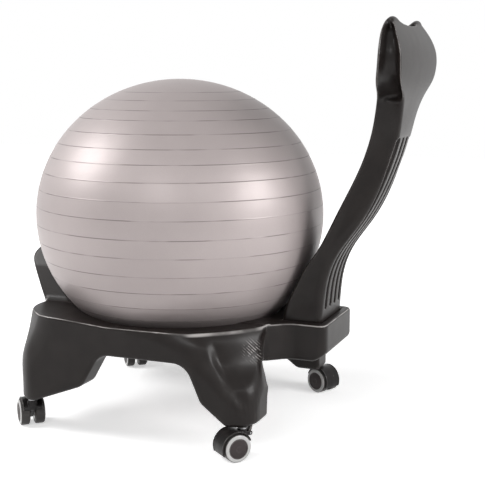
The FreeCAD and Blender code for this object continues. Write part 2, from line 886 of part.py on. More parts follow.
def fasteners():
    bolt_hole = "bolt_diameter / 2 + bolt_play"
    patterns = {
        "backrest_bolts": bolt(),
        "backrest_washers": tube("WasherPattern", "washer_width / 2", bolt_hole, "washer_thickness"),
        "backrest_inserts": tube(
            "InsertPattern", "insert_diameter / 2", "bolt_diameter / 2", "insert_length"
        ),
    }
    doc.recompute()
    washer_low = size("rear_beam_bottom") - size("washer_thickness")
    levels = {
        "backrest_bolts": washer_low - size("bolt_head_height"),
        "backrest_washers": washer_low,
        "backrest_inserts": size("socket_floor"),
    }
    for label, pattern in patterns.items():
        group(label, pattern, [(x, y, levels[label]) for x, y in bolt_places()])
    screws = [lock_screw(end, side, 0, 0) for end in (-1, 1) for side in (-1, 1)]
    plain_shape("frame_lock_screws", Part.makeCompound(screws))


# Casters: every piece is drawn with the stem's axis upright at its origin and the wheels trailing towards +X

COLLAR_LOW = "foot_height - sleeve_flange_thickness - stem_collar_thickness"
COLLAR_TOP = "foot_height - sleeve_flange_thickness"
HOOD_TOP = f"{COLLAR_LOW} - swivel_gap"
STEM_TOP = "foot_height + stem_length"
RING_LOW = f"{STEM_TOP} - ring_drop"
HOOD_INNER = "wheel_diameter / 2 + hood_gap"
HOOD_OUTER = "wheel_diameter / 2 + hood_gap + hood_wall"
WHEEL_CENTRE = ("caster_trail", "wheel_diameter / 2")
LEVER_PIVOT = ("0 - lever_forward", f"{HOOD_TOP} - 9")


def caster_stem(label):
    body = new_body(label)
    turned(
        body,
        [
            ("0", f"{HOOD_TOP} - pivot_length + 1"),
            ("pivot_diameter / 2", f"{HOOD_TOP} - pivot_length + 1"),
            ("pivot_diameter / 2", COLLAR_LOW),
            ("stem_collar / 2", COLLAR_LOW),
            ("stem_collar / 2", COLLAR_TOP),
            ("stem_diameter / 2", COLLAR_TOP),
            ("stem_diameter / 2", RING_LOW),
            ("stem_diameter / 2 - ring_depth", RING_LOW),
            ("stem_diameter / 2 - ring_depth", f"{RING_LOW} + ring_width"),
            ("stem_diameter / 2", f"{RING_LOW} + ring_width"),
            ("stem_diameter / 2", f"{STEM_TOP} - 2"),
            ("stem_diameter / 2 - 2", STEM_TOP),
            ("0", STEM_TOP),
        ],
    )
    return body


def stem_sleeve(label):
    body = new_body(label)
    inner = "stem_diameter / 2 + running_gap"
    outer = "stem_diameter / 2 + running_gap + sleeve_wall"
    recess = f"{inner} + ring_depth"
    turned(
        body,
        [
            (inner, COLLAR_TOP),
            ("sleeve_flange / 2", COLLAR_TOP),
            ("sleeve_flange / 2", "foot_height"),
            (outer, "foot_height"),
            (outer, STEM_TOP),
            (inner, STEM_TOP),
            (inner, f"{RING_LOW} + ring_width"),
            (recess, f"{RING_LOW} + ring_width"),
            (recess, RING_LOW),
            (inner, RING_LOW),
        ],
    )
    return body


def grip_ring():
    body = doc.addObject("PartDesign::Body", "GripRingPattern")
    turned(
        body,
        [
            ("stem_diameter / 2 - ring_depth", f"{RING_LOW} + 0.2"),
            ("stem_diameter / 2 + ring_depth / 2", f"{RING_LOW} + 0.2"),
            ("stem_diameter / 2 + ring_depth / 2", f"{RING_LOW} + ring_width - 0.2"),
            ("stem_diameter / 2 - ring_depth", f"{RING_LOW} + ring_width - 0.2"),
        ],
    )
    return body


def caster_hood(label, brake):
    """The swivelling body: a boss under the stem, a web between the wheels and a curved cover over them."""
    body = new_body(label)
    boss = sketch_on(body, "XY_Plane", "wheel_diameter / 2")
    add_circle(boss, "0", "0", "hood_boss / 2")
    extruded(body, "Pad", boss, f"{HOOD_TOP} - wheel_diameter / 2", both_ways=False)
    if brake:
        lugs = sketch_on(body, "XZ_Plane")
        low = f"{LEVER_PIVOT[1]} - lever_pin / 2 - 2"
        high = f"{LEVER_PIVOT[1]} + lever_pin / 2 + 2"
        front = f"{LEVER_PIVOT[0]} - lever_pin / 2 - 2"
        back = "0 - hood_boss / 4"
        add_outline(lugs, [(front, low), (back, low), (back, high), (front, high)])
        extruded(body, "Pad", lugs, "lever_width + 2 * lever_play + 2 * lug_width")
    space = sketch_on(body, "XZ_Plane")
    add_circle(space, *WHEEL_CENTRE, HOOD_INNER)
    extruded(body, "Pocket", space, "hood_width * 2")
    web = sketch_on(body, "XZ_Plane")
    add_circle(web, *WHEEL_CENTRE, f"{HOOD_INNER} + hood_wall / 2")
    extruded(body, "Pad", web, "web_width")
    cover = sketch_on(body, "XZ_Plane")
    add_circle(cover, *WHEEL_CENTRE, HOOD_OUTER)
    add_circle(cover, *WHEEL_CENTRE, HOOD_INNER)
    extruded(body, "Pad", cover, "hood_width")
    below = sketch_on(body, "XZ_Plane")
    add_outline(
        below,
        [
            (f"caster_trail - {HOOD_OUTER} - 30", "0 - 20"),
            (f"caster_trail + {HOOD_OUTER} + 5", "0 - 20"),
            (f"caster_trail + {HOOD_OUTER} + 5", "hood_lip"),
            ("caster_trail", "hood_lip"),
            ("0 - hood_boss / 2", f"{HOOD_TOP} - 17"),
            (f"caster_trail - {HOOD_OUTER} - 30", f"{HOOD_TOP} - 17"),
        ],
    )
    extruded(body, "Pocket", below, "hood_width * 2")
    pivot = sketch_on(body, "XY_Plane", HOOD_TOP)
    add_circle(pivot, "0", "0", "pivot_diameter / 2 + running_gap")
    extruded(body, "Pocket", pivot, "pivot_length", both_ways=False)
    axle = sketch_on(body, "XZ_Plane")
    add_circle(axle, *WHEEL_CENTRE, "axle_diameter / 2")
    if brake:
        add_circle(axle, *LEVER_PIVOT, "lever_pin / 2")
    extruded(body, "Pocket", axle, "hood_width * 2")
    if brake:
        slot = sketch_on(body, "XZ_Plane")
        low = f"{LEVER_PIVOT[1]} - lever_pin / 2 - 3"
        back = "0 - hood_boss / 2 - lever_play"
        add_outline(slot, [("0 - 40", low), (back, low), (back, HOOD_TOP), ("0 - 40", HOOD_TOP)])
        extruded(body, "Pocket", slot, "lever_width + 2 * lever_play")
    return body


def caster_axle(label):
    body = new_body(label)
    drawing = sketch_on(body, "XZ_Plane")
    add_circle(drawing, *WHEEL_CENTRE, "axle_diameter / 2")
    extruded(body, "Pad", drawing, "wheel_gap + 2 * wheel_width - 2 * axle_end_gap - 2 * cap_crown")
    return body


def wheel_hub(label):
    body = new_body(label)
    bore = "axle_diameter / 2 + running_gap"
    rim = "wheel_diameter / 2 - tyre_depth"
    blind = "wheel_width - cap_crown"
    turned(
        body,
        [
            (bore, "0"),
            ("hub_barrel / 2", "0"),
            ("hub_barrel / 2", "wheel_width / 2 - hub_web / 2"),
            (f"{rim} - hub_rim", "wheel_width / 2 - hub_web / 2"),
            (f"{rim} - hub_rim", "0"),
            (rim, "0"),
            (rim, "wheel_width"),
            (f"{rim} - 1", "wheel_width + cap_crown / 3"),
            (f"{rim} * 0.6", "wheel_width + cap_crown * 0.8"),
            ("0", "wheel_width + cap_crown"),
            ("0", blind),
            (bore, blind),
        ],
    )
    return body


def wheel_tyre(label):
    body = new_body(label)
    inner = "wheel_diameter / 2 - tyre_depth"
    outer = "wheel_diameter / 2"
    turned(
        body,
        [
            (inner, "0"),
            (f"{outer} - tyre_round", "0"),
            (outer, "tyre_round"),
            (outer, "wheel_width - tyre_round"),
            (f"{outer} - tyre_round", "wheel_width"),
            (inner, "wheel_width"),
        ],
    )
    return body


def brake_lever(label):
    """A small upright lever on a cross pin at the front of the hood."""
    body = new_body(label)
    drawing = sketch_on(body, "XZ_Plane")
    across, up = LEVER_PIVOT
    half = "lever_thickness / 2 + 0.75"
    add_outline(
        drawing,
        [
            (f"{across} + {half}", f"{up} - {half}"),
            (f"{across} + {half}", f"{up} + lever_rise / 3"),
            (f"{across} - lever_thickness / 2", f"{up} + lever_rise"),
            (f"{across} - lever_thickness * 1.5", f"{up} + lever_rise"),
            (f"{across} - {half}", f"{up} - {half}"),
        ],
    )
    extruded(body, "Pad", drawing, "lever_width")
    hole = sketch_on(body, "XZ_Plane")
    add_circle(hole, across, up, "lever_pin / 2 + running_gap")
    extruded(body, "Pocket", hole, "lever_width * 2")
    return body


def brake_pin(label):
    body = new_body(label)
    drawing = sketch_on(body, "XZ_Plane")
    add_circle(drawing, *LEVER_PIVOT, "lever_pin / 2")
    extruded(body, "Pad", drawing, "lever_width + 2 * lever_play + 2 * lug_width")
    return body


def caster_placement(caster):
    x, y = stem_place(caster["side"], caster["end"])
    return FreeCAD.Placement(FreeCAD.Vector(x, y, 0), FreeCAD.Rotation(Z_AXIS, caster["heading"]))


def wheel_placement(way):
    """From a wheel drawn flat, with its inner face down, to its place on the axle at one side."""
    centre = FreeCAD.Vector(size("caster_trail"), way * size("wheel_gap") / 2, size("wheel_diameter") / 2)
    return FreeCAD.Placement(centre, FreeCAD.Rotation(FreeCAD.Vector(1, 0, 0), -90 * way))


def casters():
    rings = []
    for name, caster in CASTERS.items():
        place = caster_placement(caster)
        pieces = [caster_stem(name + "_stem"), stem_sleeve(name + "_stem_sleeve")]
        pieces += [caster_hood(name + "_caster_hood", caster["brake"]), caster_axle(name + "_axle")]
        if caster["brake"]:
            pieces += [brake_lever(name + "_brake_lever"), brake_pin(name + "_brake_pin")]
        for piece in pieces:
            piece.Placement = place
        for way, which in ((-1, "right"), (1, "left")):
            for piece in (wheel_hub(f"{name}_{which}_wheel_hub"), wheel_tyre(f"{name}_{which}_tyre")):
                piece.Placement = place.multiply(wheel_placement(way))
        rings.append(place.Base)
    pattern = grip_ring()
    doc.recompute()
    group("stem_grip_rings", pattern, [tuple(base) for base in rings])


# The whole chair


def centring():
    """The shift that sets the chair's box evenly about the origin, from the guard to the pad's back."""
    boxes = [item.Shape.optimalBoundingBox(False, False) for item in subparts if item.Label in REACHES]
    low = min(box.YMin for box in boxes)
    high = max(box.YMax for box in boxes)
    return FreeCAD.Placement(FreeCAD.Vector(0, -(low + high) / 2, 0), FreeCAD.Rotation())


REACHES = ("front_cross_piece", "backrest")


def check(items):
    for item in doc.Objects:
        if "Invalid" in item.State or "Error" in item.State:
            raise RuntimeError(f"{item.Label} failed: {item.State}")
    for item in items:
        if item.Shape.isNull() or not item.Shape.isValid():
            raise RuntimeError(f"{item.Label} has no valid shape")


left_frame = side_frame()
plain_shape("side_frame_left", left_frame)
plain_shape("side_frame_right", left_frame.mirror(FreeCAD.Vector(), FreeCAD.Vector(1, 0, 0)))
plain_shape("front_cross_piece", front_cross_piece())
plain_shape("rear_cross_piece", rear_cross_piece())
plain_shape("backrest", backrest())
ball()
valve_plug()
fasteners()
casters()
doc.recompute()

shift = centring()
for item in subparts:
    item.Placement = shift.multiply(item.Placement)
doc.recompute()
check(subparts)

os.makedirs("parts", exist_ok=True)
for item in subparts:
    item.Shape.exportStep(os.path.join("parts", item.Label + ".step"))
print(f"{len(subparts)} sub-parts, shifted by {shift.Base.y:.2f} mm along Y")
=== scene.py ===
import json
import math

import bmesh
import bpy
import numpy as np
import openvdb
from mathutils import Matrix, Vector

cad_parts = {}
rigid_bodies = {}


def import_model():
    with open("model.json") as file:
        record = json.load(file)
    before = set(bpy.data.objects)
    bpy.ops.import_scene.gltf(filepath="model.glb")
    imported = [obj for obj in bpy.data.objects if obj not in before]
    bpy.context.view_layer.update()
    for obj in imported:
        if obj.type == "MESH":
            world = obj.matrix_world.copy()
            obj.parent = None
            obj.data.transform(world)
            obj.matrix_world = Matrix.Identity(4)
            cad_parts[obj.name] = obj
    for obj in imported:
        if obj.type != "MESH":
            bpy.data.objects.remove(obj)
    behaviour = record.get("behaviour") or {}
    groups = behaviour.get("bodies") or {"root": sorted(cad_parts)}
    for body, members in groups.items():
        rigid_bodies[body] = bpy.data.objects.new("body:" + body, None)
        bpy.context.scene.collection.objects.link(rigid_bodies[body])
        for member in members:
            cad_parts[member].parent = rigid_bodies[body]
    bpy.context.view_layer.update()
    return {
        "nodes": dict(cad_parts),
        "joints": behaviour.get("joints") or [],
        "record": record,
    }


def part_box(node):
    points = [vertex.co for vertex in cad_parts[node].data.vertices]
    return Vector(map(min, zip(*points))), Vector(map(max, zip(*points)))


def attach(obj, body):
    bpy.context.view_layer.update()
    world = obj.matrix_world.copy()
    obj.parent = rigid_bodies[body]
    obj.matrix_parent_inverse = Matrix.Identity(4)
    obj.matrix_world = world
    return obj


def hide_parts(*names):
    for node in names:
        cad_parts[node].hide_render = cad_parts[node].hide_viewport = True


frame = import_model()

# Shapes are worked out in millimetres around the ball's upright axis, with the floor at z = 0,
# and then set in the frame by the ball's own place in it.
MM = 0.001
ball_low, ball_high = (Vector(corner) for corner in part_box("exercise_ball"))
BALL_Y = (ball_low.y + ball_high.y) / 2 / MM
BALL_HALF_WIDTH = (ball_high.x - ball_low.x) / 2 / MM
BALL_HALF_HEIGHT = (ball_high.z - ball_low.z) / 2 / MM
BALL_Z = (ball_high.z + ball_low.z) / 2 / MM

# Heights of the ring's top at the rear and at the front, and of the underside of the feet
RIM = 214
SHOULDER = 222
FOOT = 58

# The half width of the base, the radius of the ring's opening, and the seams' distance from the middle,
# with the gaps that are left at the seams and round the ball
SIDE = 236
OPENING = 190
SEAM = {"front": 118, "rear": 116}
SEAM_GAP = 0.15
BALL_CLEARANCE = 0.4

# Which way along Y each end lies, and how far from the middle it begins, in metres, for each kind of cut
WAY = {"front": -1, "rear": 1}
SIDE_FRAME_END = 0.03
CROSS_PIECE_END = 0.06

# The backrest's socket, and the sunk holes for the locking screws: radius, depth and height
SOCKET_HALF_WIDTH = 66.5
SOCKET_FRONT = 233.5
SOCKET_REAR = 306.5
SOCKET_FLOOR = 160
SCREW_HOLE = 5.6
SCREW_DEPTH = 7.5
SCREW_HEIGHT = 190

BODY_OF = {node: body for body, nodes in frame["record"]["behaviour"]["bodies"].items() for node in nodes}


# Solid shapes as distance fields on a grid: negative inside, positive outside, in millimetres


class Block:
    """A box-shaped grid of sample points."""

    def __init__(self, low, high, step):
        self.low = low
        self.step = step
        ends = [end + step / 2 for end in high]
        self.x, self.y, self.z = (np.arange(a, b, step, dtype=np.float32) for a, b in zip(low, ends))
        self.X = self.x[:, None, None]
        self.Y = self.y[None, :, None]
        self.Z = self.z[None, None, :]
        self.R = np.hypot(self.X, self.Y)

    def side_view(self, outline):
        """The outline of (y, z) corners drawn out along X."""
        return flat_distance(outline, self.y, self.z)[None, :, :]

    def front_view(self, outline):
        """The outline of (x, z) corners drawn out along Y."""
        return flat_distance(outline, self.x, self.z)[:, None, :]

    def plan_view(self, outline):
        """The outline of (x, y) corners drawn out along Z."""
        return flat_distance(outline, self.x, self.y)[:, :, None]

    def turned(self, outline):
        """The outline of (radius, z) corners turned round the upright axis."""
        reach = np.arange(0, float(self.R.max()) + 2, 1.0, dtype=np.float32)
        table = flat_distance(outline, reach, self.z)
        place = np.clip(self.R[:, :, 0], 0, reach[-1] - 1)
        whole = place.astype(int)
        part = (place - whole)[:, :, None]
        return table[whole] * (1 - part) + table[whole + 1] * part

    def along_z(self, by_height):
        """A value that changes smoothly with height, through a table of heights and values."""
        return smooth_line(list(by_height), list(by_height.values()), self.z)[None, None, :]


def flat_distance(outline, u, v):
    """How far each point of a flat grid lies outside a closed outline."""
    points = np.array(outline, dtype=np.float32)
    ends = np.roll(points, -1, axis=0)
    U, V = np.meshgrid(u, v, indexing="ij")
    nearest = np.full(U.shape, 1e9, dtype=np.float32)
    inside = np.zeros(U.shape, dtype=bool)
    for (ax, ay), (bx, by) in zip(points, ends):
        ex, ey = bx - ax, by - ay
        length = ex * ex + ey * ey
        if length < 1e-9:
            continue
        along = np.clip(((U - ax) * ex + (V - ay) * ey) / length, 0, 1)
        nearest = np.minimum(nearest, (U - ax - ex * along) ** 2 + (V - ay - ey * along) ** 2)
        if ay != by:
            inside ^= ((ay > V) != (by > V)) & (U < ex * (V - ay) / (by - ay) + ax)
    return np.where(inside, -1, 1) * np.sqrt(nearest)


def rounded(corners, steps=8):
    """A closed outline through (u, v, radius) corners, each arc in a few steps."""
    outline = []
    for index, (u, v, radius) in enumerate(corners):
        here = Vector((u, v))
        if not radius:
            outline.append((u, v))
            continue
        before = (Vector(corners[index - 1][:2]) - here).normalized()
        after = (Vector(corners[(index + 1) % len(corners)][:2]) - here).normalized()
        half = before.angle(after) / 2
        middle = here + (before + after).normalized() * (radius / math.sin(half))
        first = here + before * (radius / math.tan(half)) - middle
        last = here + after * (radius / math.tan(half)) - middle
        turn = max(first.angle(last), 1e-4)
        for step in range(steps + 1):
            mix = turn * step / steps
            spoke = (first * math.sin(turn - mix) + last * math.sin(mix)) / math.sin(turn)
            outline.append(tuple(middle + spoke))
    return outline


def smooth_line(places, values, at):
    """Natural cubic through the given values."""
    places = np.array(places, dtype=float)
    values = np.array(values, dtype=float)
    gaps = np.diff(places)
    count = len(places)
    system = np.eye(count)
    right = np.zeros(count)
    for i in range(1, count - 1):
        system[i, i - 1 : i + 2] = gaps[i - 1], 2 * (gaps[i - 1] + gaps[i]), gaps[i]
        right[i] = 6 * ((values[i + 1] - values[i]) / gaps[i] - (values[i] - values[i - 1]) / gaps[i - 1])
    bend = np.linalg.solve(system, right)
    at = np.clip(np.asarray(at, dtype=float), places[0], places[-1])
    cell = np.clip(np.searchsorted(places, at) - 1, 0, count - 2)
    gap = gaps[cell]
    a = (places[cell + 1] - at) / gap
    b = (at - places[cell]) / gap
    curve = a * values[cell] + b * values[cell + 1]
    curve += ((a**3 - a) * bend[cell] + (b**3 - b) * bend[cell + 1]) * gap**2 / 6
    return curve.astype(np.float32)


def both(a, b, radius):
    """What two shapes share, with their common edge rounded."""
    soft = np.hypot(np.maximum(a + radius, 0), np.maximum(b + radius, 0))
    return np.minimum(-radius, np.maximum(a, b)) + soft


def joined(a, b, radius):
    """Two shapes as one, with a fillet where they meet."""
    return -both(-a, -b, radius)


def without(a, b, radius):
    """The first shape with the second cut out of it, and the cut's edge rounded."""
    return both(a, -b, radius)


def step_up(value):
    """0 below 0, 1 above 1, and a smooth rise between them."""
    value = np.clip(value, 0, 1)
    return value * value * (3 - 2 * value)


def skin_of(field, block, name):
    """A mesh object on the surface where the field is zero."""
    step = block.step
    band = 3 * step
    grid = openvdb.FloatGrid(band)
    grid.copyFromArray(np.ascontiguousarray(np.clip(field, -band, band), dtype=np.float64))
    points, quads = grid.convertToQuads(0.0)
    points = points * step + np.array(block.low)
    points = (points + (0, BALL_Y, 0)) * MM
    return mesh_object(name, points, quads)


def mesh_object(name, points, faces):
    """A smooth-shaded mesh object from arrays of points and four-sided faces, its faces turned outwards."""
    points = np.asarray(points, dtype=np.float64)
    faces = np.asarray(faces, dtype=np.int64)
    volume = 0
    for triangle in ([0, 1, 2], [0, 2, 3]):
        corners = points[faces[:, triangle]]
        volume += np.einsum("ij,ij->i", corners[:, 0], np.cross(corners[:, 1], corners[:, 2])).sum()
    if volume < 0:
        faces = faces[:, ::-1]
    mesh = bpy.data.meshes.new(name)
    mesh.vertices.add(len(points))
    mesh.vertices.foreach_set("co", points.astype(np.float32).ravel())
    mesh.loops.add(faces.size)
    mesh.loops.foreach_set("vertex_index", faces.astype(np.int32).ravel())
    mesh.polygons.add(len(faces))
    mesh.polygons.foreach_set("loop_start", np.arange(0, faces.size, 4, dtype=np.int32))
    mesh.update(calc_edges=True)
    mesh.validate()
    mesh.polygons.foreach_set("use_smooth", np.ones(len(mesh.polygons), dtype=bool))
    piece = bpy.data.objects.new(name, mesh)
    bpy.context.scene.collection.objects.link(piece)
    return piece


# The moulded frame


def on_both_sides(half):
    """A list of (u, v, radius) corners for u > 0, and the same again mirrored."""
    return half + [(-u, v, radius) for u, v, radius in reversed(half)]


def arch(foot, waist, top):
    """An opening from below the floor up, alike on both sides, with (half width, height, radius) corners."""
    below = -40
    return rounded([(foot[0], below, 0)] + on_both_sides([foot, waist, top]) + [(-foot[0], below, 0)])


def ball_distance(block, grow):
    """How far a point lies outside the ball, grown by a clearance."""
    wide = BALL_HALF_WIDTH + grow
    tall = BALL_HALF_HEIGHT + grow
    height = block.Z - BALL_Z
    scaled = np.sqrt((block.R / wide) ** 2 + (height / tall) ** 2)
    slope = np.sqrt((block.R / wide**2) ** 2 + (height / tall**2) ** 2) + 1e-6
    return (scaled - 1) * scaled / slope


# How far the corners of the legs reach from the ball's axis at each height: the front ones, and the ridge
# and the face behind it of the rear ones, with the ridge's turn in degrees and the hollow beside it
FRONT_CORNER = {50: 322, 92: 321, 142: 317, 157: 310, 190: 297, 222: 289, 240: 284}
REAR_RIDGE = {50: 345, 82: 334, 95: 325, 107: 316, 120: 305, 146: 287, 171: 272, 196: 260, 213: 247, 240: 236}
REAR_FACE = {50: 335, 90: 322, 108: 312, 120: 304, 130: 295, 142: 283, 160: 270, 185: 261, 200: 255}
REAR_FACE |= {213: 247, 240: 240}
RIDGE_TURN = {50: 41, 107: 39.5, 120: 38, 146: 36.4, 171: 34.5, 196: 32.5, 213: 28.5, 240: 25}
HOLLOW_DEPTH = {50: 0, 82: 0, 104: 5, 134: 4, 165: 3, 200: 0, 240: 0}
RIDGE_WIDTH = 22
HOLLOW_TURN = 4
HOLLOW_WIDTH = 2.8

# The wall between a rear leg and the socket: its turn, and its distance from the ball's axis at each height
NECK_TURN = 23.5
NECK_WALL = {50: 240, 100: 185, 110: 165, 124: 155, 142: 149.5, 160: 147, 170: 147, 185: 149, 200: 154}
NECK_WALL |= {214: 166, 240: 190}


def leg_corner(block):
    """How far a point lies outside the legs' sloping corners; each rear one falls back behind a ridge."""
    angle = np.degrees(np.arctan2(np.abs(block.Y), block.X + 1e-6))
    face = block.along_z(REAR_FACE)
    ridge = np.maximum(block.along_z(REAR_RIDGE), face)
    past = angle - block.along_z(RIDGE_TURN)
    rear = ridge - (ridge - face) * step_up(np.radians(past) * ridge / RIDGE_WIDTH)
    rear = rear - block.along_z(HOLLOW_DEPTH) * np.exp(-(((past - HOLLOW_TURN) / HOLLOW_WIDTH) ** 2))
    reach = np.where(block.Y > 0, rear, block.along_z(FRONT_CORNER))
    slope = np.gradient(reach, block.step, axis=2)
    return (block.R - reach) / np.sqrt(1 + slope**2)


def neck(block):
    """How far a point lies outside the wall that draws in between a rear leg and the backrest's socket."""
    turn = math.radians(NECK_TURN)
    across = block.Y * math.cos(turn) - block.X * math.sin(turn)
    return across - block.along_z(NECK_WALL)


def ring_and_legs(block):
    """The ring on its four legs, with an archway on each side and the rear legs' necks."""
    square = rounded([(SIDE, -SIDE, 36), (SIDE, SIDE, 46), (-SIDE, SIDE, 46), (-SIDE, -SIDE, 36)])
    footprint = both(block.plan_view(square), leg_corner(block), 16)
    edge = block.along_z({50: 7, 100: 7, 150: 6, 200: 4, 240: 4})
    silhouette = rounded(
        [
            (-400, SHOULDER, 0),
            (-140, SHOULDER, 150),
            (-40, RIM, 150),
            (400, RIM, 0),
            (400, FOOT, 0),
            (188, FOOT, 20),
            (141, 94, 24),
            (113, 160, 36),
            (-56, 160, 34),
            (-94, 97, 30),
            (-196, FOOT, 30),
            (-400, FOOT, 0),
        ]
    )
    body = both(footprint, block.side_view(silhouette), edge)
    front_arch = arch((196, FOOT, 20), (94, 96, 22), (56, 160, 30))
    rear_arch = arch((149, FOOT, 20), (146, 96, 24), (122, 146, 26))
    body = without(body, np.maximum(block.front_view(front_arch), block.Y + 60), 7)
    body = without(body, np.maximum(block.front_view(rear_arch), 60 - block.Y), 7)
    return both(body, neck(block), 12)


def guard(block):
    """The raised front of the ring, turned round the ball and cut to its width."""
    guard_side = rounded(
        [
            (OPENING, 160, 0),
            (230, 160, 0),
            (266, 220, 60),
            (304, 300, 18),
            (287, 319, 12),
            (253, 319, 0),
            (OPENING, RIM, 0),
        ]
    )
    guard_front = rounded(on_both_sides([(113, 120, 0), (113, SHOULDER, 20), (82, 283, 40), (54, 320, 22)]))
    return np.maximum(both(block.turned(guard_side), block.front_view(guard_front), 6), block.Y)


def shroud(block):
    """The box behind the ring that holds the backrest's foot."""
    shroud_plan = rounded(on_both_sides([(116, 165, 0), (116, 218, 20), (86, 252, 34), (86, 323, 18)]))
    shroud_side = rounded([(150, 146, 0), (299, 146, 20), (323, 162, 12), (323, RIM, 6), (150, RIM, 0)])
    return both(block.plan_view(shroud_plan), block.side_view(shroud_side), 6)


def moulded_frame(block):
    """The whole base as one skin; the half with x > 0 is enough, as the two sides are alike."""
    body = joined(ring_and_legs(block), guard(block), 10)
    body = joined(body, shroud(block), 8)
    opening = [(0, -20), (210, -20), (210, FOOT), (OPENING, 185), (OPENING, 300), (0, 300)]
    body = without(body, block.turned(opening), 6)
    body = without(body, ball_distance(block, BALL_CLEARANCE), 7)

    socket = np.maximum(SOCKET_FRONT - block.Y, block.Y - SOCKET_REAR)
    socket = np.maximum(np.abs(block.X) - SOCKET_HALF_WIDTH, socket)
    body = without(body, np.maximum(socket, SOCKET_FLOOR - block.Z), 3)
    for end, way in WAY.items():
        screw_x = SEAM[end] + 12
        hole = np.hypot(block.X - screw_x, block.Z - SCREW_HEIGHT) - SCREW_HOLE
        depth = np.abs(block.Y) - math.sqrt(OPENING**2 - screw_x**2) - SCREW_DEPTH
        body = without(body, np.maximum(np.maximum(hole, depth), -way * block.Y), 0.6)
    return body


def build_frame():
    """The four mouldings, cut from one skin at their seams."""
    block = Block((0, -326, 50), (244, 334, 326), 1.75)
    body = moulded_frame(block)
    width = block.x[-1]
    whole = Block((-width, *block.low[1:]), (width, block.y[-1], block.z[-1]), block.step)
    skin = skin_of(np.concatenate([body[:0:-1], body]), whole, "frame_skin")
    for name, side in (("left", 1), ("right", -1)):
        piece = copy_of(skin, f"side_frame_{name}_moulding")
        for end in WAY:
            cut_off(piece, side, SEAM[end] + SEAM_GAP, end)
        stand_for(piece, f"side_frame_{name}")
    for end in WAY:
        piece = copy_of(skin, f"{end}_cross_piece_moulding")
        keep_end(piece, end, SEAM[end] - SEAM_GAP)
        stand_for(piece, f"{end}_cross_piece")
    bpy.data.objects.remove(skin)


def copy_of(piece, name):
    """The same piece again under another name."""
    twin = bpy.data.objects.new(name, piece.data.copy())
    twin.data.name = name
    bpy.context.scene.collection.objects.link(twin)
    return twin


def slice_mesh(shape, faces, point, normal):
    """Cut the given faces by a plane, drop what lies past it and close the cut with a sharp-edged face."""
    # A dict keeps its order, where a set would number the cut's points otherwise in each run
    geometry = dict.fromkeys(faces)
    for face in faces:
        geometry.update(dict.fromkeys((*face.verts, *face.edges)))
    result = bmesh.ops.bisect_plane(
        shape, geom=list(geometry), dist=1e-7, plane_co=point, plane_no=normal, clear_outer=True
    )
    rim = [item for item in result["geom_cut"] if isinstance(item, bmesh.types.BMEdge)]
    for edge in rim:
        edge.smooth = False
    for face in bmesh.ops.edgenet_fill(shape, edges=rim)["faces"]:
        face.smooth = False


def towards(end, face):
    """How far a face lies from the ball's axis towards one end of the chair, in metres."""
    return (face.calc_center_median().y - BALL_Y * MM) * WAY[end]


def cut_off(piece, side, seam, end):
    """Keep what lies outside the seam at one end of a side frame."""
    shape = bmesh.new()
    shape.from_mesh(piece.data)
    faces = [face for face in shape.faces if towards(end, face) > SIDE_FRAME_END]
    slice_mesh(shape, faces, (side * seam * MM, 0, 0), (-side, 0, 0))
    stray = [face for face in shape.faces if face.calc_center_median().x * side < 0]
    bmesh.ops.delete(shape, geom=stray, context="FACES")
    shape.to_mesh(piece.data)
    shape.free()


def keep_end(piece, end, seam):
    """Keep what lies between the two seams at one end."""
    shape = bmesh.new()
    shape.from_mesh(piece.data)
    far = [face for face in shape.faces if towards(end, face) < CROSS_PIECE_END]
    bmesh.ops.delete(shape, geom=far, context="FACES")
    for side in (-1, 1):
        slice_mesh(shape, list(shape.faces), (side * seam * MM, 0, 0), (side, 0, 0))
    loose = [face for face in shape.faces if abs(face.calc_center_median().x) > (seam + 1) * MM]
    bmesh.ops.delete(shape, geom=loose, context="FACES")
    shape.to_mesh(piece.data)
    shape.free()


def stand_for(piece, *nodes):
    """The piece takes the place of CAD nodes and rides on their body."""
    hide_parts(*nodes)
    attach(piece, BODY_OF[nodes[0]])


# The backrest


# The backrest from the side: how far back its front and its rear lie at each height
BACKREST_FRONT = {150: 232, 190: 232, 215: 232, 245: 240, 272: 253, 310: 272, 345: 296, 415: 331, 490: 366}
BACKREST_FRONT |= {557: 388, 610: 401, 650: 414, 690: 419, 722: 420, 742: 422}
BACKREST_REAR = {150: 306, 210: 306, 240: 308, 288: 314, 340: 334, 390: 369, 440: 398, 490: 419, 540: 435}
BACKREST_REAR |= {595: 447, 640: 458, 670: 461, 695: 459, 720: 450, 742: 438}

# One half of the backrest from the front, as (x, z) from the foot of the column up and round the pad
COLUMN_EDGE = [(66, 150), (66, 250), (66, 340), (64, 395), (59, 450), (54, 505), (54, 545)]
PAD_EDGE = [(62, 582), (80, 611), (112, 630), (137, 649), (147, 680), (144, 705), (132, 729)]
PAD_EDGE += [(113, 745), (92, 750), (66, 746), (34, 741)]
PAD_NOTCH = (0, 740)
HALF_WIDTH = {150: 66, 395: 64, 505: 54, 560: 57, 611: 80, 649: 137, 750: 147}

# The grooves down the back of the column
GROOVES = 4
GROOVE_SPACING = 27
GROOVE_HALF_WIDTH = 7
GROOVE_DEPTH = 4.4
GROOVE_LOW = 242
GROOVE_HIGH = 540


def smooth_outline(points, steps=6):
    """A dense open line of points on a smooth curve through the given ones."""
    points = np.array(points, dtype=float)
    lengths = np.linalg.norm(np.diff(points, axis=0), axis=1)
    along = np.concatenate([[0], np.cumsum(np.sqrt(lengths))])
    pieces = [np.linspace(a, b, steps, endpoint=False) for a, b in zip(along, along[1:])]
    dense = np.concatenate(pieces + [along[-1:]])
    return list(zip(smooth_line(along, points[:, 0], dense), smooth_line(along, points[:, 1], dense)))


